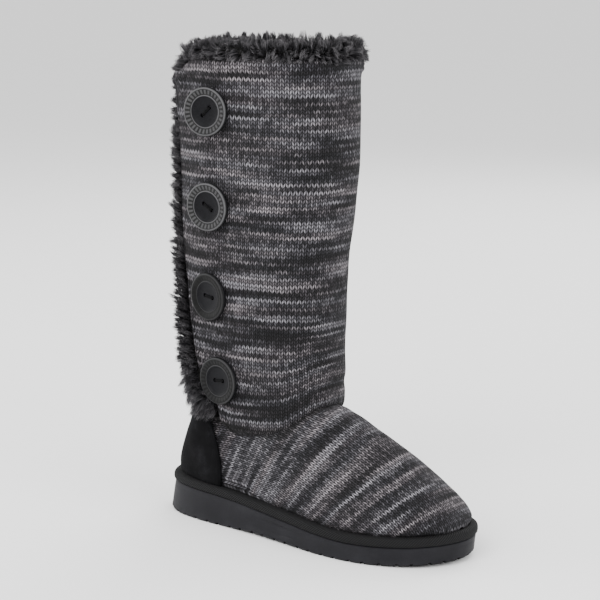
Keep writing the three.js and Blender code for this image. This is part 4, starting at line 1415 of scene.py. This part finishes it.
@dataclass
class Pile:
    """Loose hairs gathered into locks on a band of fur.

    locks counts the locks along and across the band, fall is how far the hairs hang down over
    their length, and gather is how far they are pulled to their lock's tip.
    """

    name: str
    count: int
    length: float
    width: float
    locks: tuple[int, int]
    seed: int
    fall: float = 0.25
    gather: float = 0.56
    segments: int = 3

    def build(self, root: Callable[[Array, Array], Pair], spread: Callable[[Array], Array],
              material: bpy.types.Material) -> None:
        """Builds and dresses the hairs.

        Args:
            root: Points and outward directions in millimetres for two shares over the band.
            spread: Maps an even share to the share across the band.
            material: The hairs' finish.
        """
        chance = np.random.RandomState(self.seed)
        n = self.count
        p, q = chance.rand(n), spread(chance.rand(n))
        start, out = root(p, q)
        rows, ranks = self.locks
        cell = np.floor(p * rows), np.floor(np.clip(q * ranks + 0.35 * np.sin(p * rows * 2.1), 0, ranks - 1))
        number = (cell[0] * ranks + cell[1]).astype(int)
        jitter = chance.rand(rows * ranks, 6)[number]
        centre_p = (cell[0] + 0.2 + 0.6 * jitter[:, 0]) / rows
        centre_q = np.clip((cell[1] + 0.2 + 0.6 * jitter[:, 1]) / ranks, 0, 1)
        middle, middle_out = root(np.clip(centre_p, 0, 1), centre_q)
        lock_length = self.length * (0.7 + 0.6 * jitter[:, 2])
        lean = (jitter[:, 3:6] - 0.5) * self.length * 1.1
        tip = middle + middle_out * lock_length[:, None] + lean
        own = start + out * (self.length * (0.55 + 0.5 * chance.rand(n)))[:, None]
        own = own + (chance.rand(n, 3) - 0.5) * self.length * 0.5
        pull = np.clip(self.gather + 0.25 * (chance.rand(n) - 0.5), 0, 1)[:, None]
        end = mix(own, tip, pull)
        end[:, 2] -= self.fall * self.length * (0.5 + chance.rand(n))
        across = np.cross(end - start, chance.rand(n, 3) - 0.5)
        across /= np.linalg.norm(across, axis=1)[:, None] + 1e-9
        curl = (chance.rand(n, 3) - 0.5) * self.length * 0.3
        curl = curl + (chance.rand(rows * ranks, 3)[number] - 0.5) * self.length * self.gather * 1.7
        bm, u, v = Maker.grid(2 * n - 1, self.segments)
        column = np.rint(u * (2 * n - 1)).astype(int)
        hair, edge = column // 2, column % 2
        bm.faces.ensure_lookup_table()
        odd = [f for f in bm.faces if int(round((f.calc_center_median().x + 1) / 2 * (2 * n - 1) - 0.5)) % 2]
        bmesh.ops.delete(bm, geom=odd, context="FACES_ONLY")
        loose = [e for e in bm.edges if not e.link_faces]
        bmesh.ops.delete(bm, geom=loose, context="EDGES")
        s = v[:, None]
        a, b = start[hair], end[hair]
        bow = out[hair] * self.length * 0.25
        points = a + (b - a) * s + (bow + curl[hair]) * s * (1 - s) * 2
        half = self.width / 2 * (1 - 0.86 * s**1.6)
        points = points + across[hair] * half * (edge * 2 - 1)[:, None]
        uv = np.stack([(hair % HAIR_NUMBERS + 0.5) / HAIR_NUMBERS, v], axis=-1)
        piece = Maker.finish(bm, self.name, metres(*points.T), uv)
        Maker.settle(piece, "fur", material)


@dataclass
class Fur:
    """The fur that stands out of the collar and the strip of it behind the flap."""

    collar: tuple[tuple[float, float], ...] = (
        (1.0, 2.6), (-2.5, 2.2), (-5.5, 1.2), (-8.0, 4.0), (-8.8, 7.6), (-6.3, 12.0), (0, 13.6),
        (20, 12.2), (42, 9.6),
    )
    corner: float = 26.0
    trim_low: float = 91.0
    trim_high: float = 343.0

    def collar_root(self, p: Array, q: Array) -> Pair:
        """Points and directions on the collar's fur, these longer at the flap's corner."""
        def at(turn: Array, s: Array) -> Array:
            """Point of the crest in millimetres."""
            turn = np.mod(turn, 1)
            below, inset = rows_at(self.collar, s)
            z = FORM.top(turn) - below
            inset = inset + FORM.lapped(turn)
            return np.stack(FORM.shaft_point(z, FORM.bearing(z, turn), inset), axis=-1)

        here, out = facing(at, p, q)
        corner = smooth(1.3 - np.minimum(p, 1 - p) * FORM.girth / self.corner)
        return here, out * (1 + 0.85 * corner * (1 - smooth(q * 2 - 0.6)))[:, None]

    def trim_root(self, p: Array, q: Array) -> Pair:
        """Points and directions on the strip behind the flap, these shorter at its top."""
        places = [0, 0.13, 0.3, 0.6, 0.9, 1]
        reach = FORM.trim_width / FORM.girth

        def at(up: Array, s: Array) -> Array:
            """Point of the strip in millimetres."""
            z = mix(self.trim_low, self.trim_high, up)
            across = mix(0.1, 1.0, s)
            rise = np.interp(across, places, [0.1, 0.6, 0.95, 1.0, 0.5, 0.05]) * FORM.trim_thickness
            turn = 1 - reach * across
            place = FORM.shaft_point(z, FORM.bearing(z, turn), FORM.sunk(turn) - rise)
            return np.stack(place, axis=-1)

        here, out = facing(at, p, q)
        out[:, 2] += np.interp(p, [0, 0.08, 0.2, 1], [-0.9, -0.5, 0.45, 0.65])
        return here, out * np.interp(p, [0, 0.15, 0.75, 0.92, 1], [1, 1.05, 0.95, 0.6, 0.5])[:, None]

    def build(self) -> None:
        """Builds and dresses the fur on its two solid bands."""
        base = FurFinish("fur ground", True).make()
        hairs = FurFinish().make()
        for node in ("fur_collar", "fur_trim"):
            Maker.settle(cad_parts[node], "fur", base)
        crest = lambda r: np.interp(r, [0, 0.72, 1], [0, 0.7, 1])
        collar = Pile("collar hairs", 31000, 7.2, 0.44, locks=(84, 7), seed=5, fall=0.1)
        collar.build(self.collar_root, crest, hairs)
        strip = Pile("strip hairs", 28000, 7.9, 0.36, locks=(96, 4), seed=9, fall=0.05, gather=0.42)
        strip.build(self.trim_root, lambda r: r, hairs)


@dataclass
class Button:
    """A large dished button held by thread through two holes."""

    number: int
    up: float
    angle: float
    lean: float
    turn: float
    rim: Rim
    diameter: float = 36.0
    thickness: float = 5.2
    hole: float = 3.4
    spacing: float = 8.0
    lean_lift: float = 0.36
    thread: float = 0.5
    strand: float = 0.42

    def seat(self) -> tuple[Vector, Vector]:
        """Place on the flap in millimetres, and the direction that the button faces."""
        z = mix(FORM.instep, FORM.collar, self.up)
        at = lambda height, degrees: Vector(
            [float(c) for c in FORM.shaft_point(np.float64(height), np.float64(degrees), 0.0)]
        )
        along = at(z, self.angle + 2) - at(z, self.angle - 2)
        out = along.cross(at(z + 4, self.angle) - at(z - 4, self.angle)).normalized()
        lean = math.radians(self.lean)
        c, s = math.cos(lean), math.sin(lean)
        place = at(z, self.angle) + out * (s * self.diameter * self.lean_lift + FORM.gap)
        return place, Vector((out.x * c - out.y * s, out.x * s + out.y * c, out.z))

    def placed(self, points: Array) -> Array:
        """Points of the button's own frame in millimetres, in metres on the boot."""
        place, out = self.seat()
        level = Vector((0, 0, 1)).cross(out).normalized()
        turned = np.array([level, out.cross(level), out])
        return metres(*(points @ turned + np.array(place)).T)

    def blank(self) -> bmesh.types.BMesh:
        """The turned disc without its holes, its back at zero."""
        r, t = self.diameter / 2, self.thickness
        profile = [
            (0, 0), (0.8, 0), (0.88, 0.03), (0.97, 0.28), (1, 0.48), (0.995, 0.72), (0.96, 0.9),
            (0.9, 0.985), (0.85, 0.985), (0.74, 0.83), (0.68, 0.75), (0.655, 0.77), (0.635, 0.83),
            (0.605, 0.8), (0.56, 0.62), (0.52, 0.56), (0.3, 0.49), (0, 0.46),
        ]
        bm = bmesh.new()
        verts = [bm.verts.new((x * r, 0, y * t)) for x, y in profile]
        edges = [bm.edges.new(pair) for pair in zip(verts, verts[1:])]
        bmesh.ops.spin(
            bm, geom=[*verts, *edges], cent=(0, 0, 0), axis=(0, 0, 1), angle=2 * math.pi, steps=72,
            use_merge=True,
        )
        bmesh.ops.remove_doubles(bm, verts=bm.verts, dist=1e-4)
        bmesh.ops.recalc_face_normals(bm, faces=bm.faces)
        return bm

    def drilled(self) -> bpy.types.Mesh:
        """The disc with its two holes."""
        disc = Maker.finish(self.blank(), "disc")
        bm = bmesh.new()
        for side in (-1, 1):
            made = bmesh.ops.create_cone(
                bm, cap_ends=True, segments=20, radius1=self.hole / 2, radius2=self.hole / 2, depth=20
            )
            reach = side * self.spacing / 2
            turn = math.radians(self.turn)
            step = Vector((reach * math.cos(turn), reach * math.sin(turn), 0))
            bmesh.ops.translate(bm, verts=made["verts"], vec=step)
        drill = Maker.finish(bm, "drill")
        cut = disc.modifiers.new("holes", "BOOLEAN")
        cut.object, cut.operation, cut.solver = drill, "DIFFERENCE", "EXACT"
        bpy.context.view_layer.update()
        mesh = bpy.data.meshes.new_from_object(disc.evaluated_get(bpy.context.evaluated_depsgraph_get()))
        for piece in (disc, drill):
            bpy.data.objects.remove(piece)
        return mesh

    def build(self) -> None:
        """Builds and dresses the button and its thread."""
        bm = bmesh.new()
        bm.from_mesh(self.drilled())
        layer = bm.loops.layers.uv.new("map")
        for face in bm.faces:
            turns = [math.atan2(loop.vert.co.y, loop.vert.co.x) / (2 * math.pi) % 1 for loop in face.loops]
            wraps = max(turns) - min(turns) > 0.5
            for loop, turn in zip(face.loops, turns):
                reach = math.hypot(loop.vert.co.x, loop.vert.co.y) / (self.diameter / 2)
                loop[layer].uv = (turn + (wraps and turn < 0.5), reach)
        for edge in bm.edges:
            edge.smooth = edge.calc_face_angle(0) < math.radians(42)
        points = self.placed(np.array([v.co for v in bm.verts]))
        button = Maker.finish(bm, f"button {self.number}", points)
        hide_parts(f"button_{self.number}")
        Maker.settle(button, "button_resin", ButtonFinish(self.rim).make())

        turn = math.radians(self.turn)
        for tag, strand in (("a", -self.strand), ("b", self.strand)):
            def bar(u: Array, v: Array) -> Points:
                """Points of a thread's tube in the button's own frame."""
                s, ring = np.pi * v, 2 * np.pi * u
                thick, side = self.thread * np.cos(ring), strand + self.thread * np.sin(ring)
                along = (self.spacing / 2 + thick) * np.cos(s)
                rise = 1.2 + (1.9 + thick) * np.sin(s) ** 0.6
                x = along * math.cos(turn) - side * math.sin(turn)
                return x, along * math.sin(turn) + side * math.cos(turn), rise

            bm, u, v = Maker.grid(10, 18)
            points = self.placed(np.stack(bar(u, v), axis=-1))
            thread = Maker.finish(bm, f"thread {self.number}{tag}", points, np.stack([u, v], -1),
                                  merge=1e-6, outwards=True)
            Maker.settle(thread, "binding_tape", ThreadFinish().make())


@dataclass
class Studio:
    """The camera at the photograph's angle, a pale floor and soft light."""

    place: tuple[float, float, float] = (791.3, -1046.6, 415.5)
    azimuth: float = 37.55
    pitch: float = 10.37
    lens: float = 108.6
    lights: tuple[tuple[str, tuple[float, float, float], float, float], ...] = (
        ("key", (0.2, -1.9, 1.7), 1.6, 60), ("side", (2.0, -0.3, 1.1), 1.5, 40),
        ("fill", (-1.7, -0.9, 0.9), 1.6, 26), ("back", (-0.3, 1.8, 1.5), 1.6, 30),
    )

    @staticmethod
    def aim(data: bpy.types.ID, place: Array | Vector, look: Vector) -> bpy.types.Object:
        """Puts up a camera or a light that faces along a direction."""
        made = bpy.data.objects.new(data.name, data)
        made.location, made.rotation_euler = place, look.to_track_quat("-Z", "Y").to_euler()
        bpy.context.scene.collection.objects.link(made)
        return made

    def camera(self) -> None:
        """Sets up the camera."""
        data = bpy.data.cameras.new("camera")
        data.lens, data.sensor_width = self.lens, 36
        az, down = math.radians(self.azimuth), math.radians(self.pitch)
        look = Vector((-math.sin(az) * math.cos(down), math.cos(az) * math.cos(down), -math.sin(down)))
        bpy.context.scene.camera = self.aim(data, metres(*(np.array([c]) for c in self.place))[0], look)

    def build(self) -> None:
        """Sets up the floor and the light."""
        bm = bmesh.new()
        bmesh.ops.create_grid(bm, x_segments=1, y_segments=1, size=40)
        floor = Maker.finish(bm, "floor")
        s = Shader("pale floor")
        floor.data.materials.append(s.wear(Base_Color=(0.86, 0.86, 0.86), Roughness=0.8))
        for name, place, size, power in self.lights:
            data = bpy.data.lights.new(name, "AREA")
            data.size, data.energy = size, power
            self.aim(data, Vector(place), Vector((0, 0, 0.16)) - Vector(place))
        world = bpy.data.worlds.new("studio")
        world.use_nodes = True
        sky = world.node_tree.nodes["Background"]
        sky.inputs[0].default_value, sky.inputs[1].default_value = (1, 1, 1, 1), 1.45
        bpy.context.scene.world = world


def main() -> None:
    """Builds the boot's parts in order."""
    logging.basicConfig(level=logging.INFO, format="%(message)s")
    studio = Studio()
    studio.camera()
    for part in (Sole(), Foot(), Shaft(), Lining(), Counter(), Fur()):
        log.info("building %s", type(part).__name__)
        part.build()
    rows = [
        (1, 0.85, -101, 14, 45, Rim.WORN), (2, 0.578, -101, 9, -32, Rim.WORN),
        (3, 0.313, -103.5, 0, -8, Rim.PLAIN), (4, 0.068, -97.5, 0, 3, Rim.DARK),
    ]
    for row in rows:
        Button(*row).build()
    studio.build()


if __name__ == "__main__":
    main()
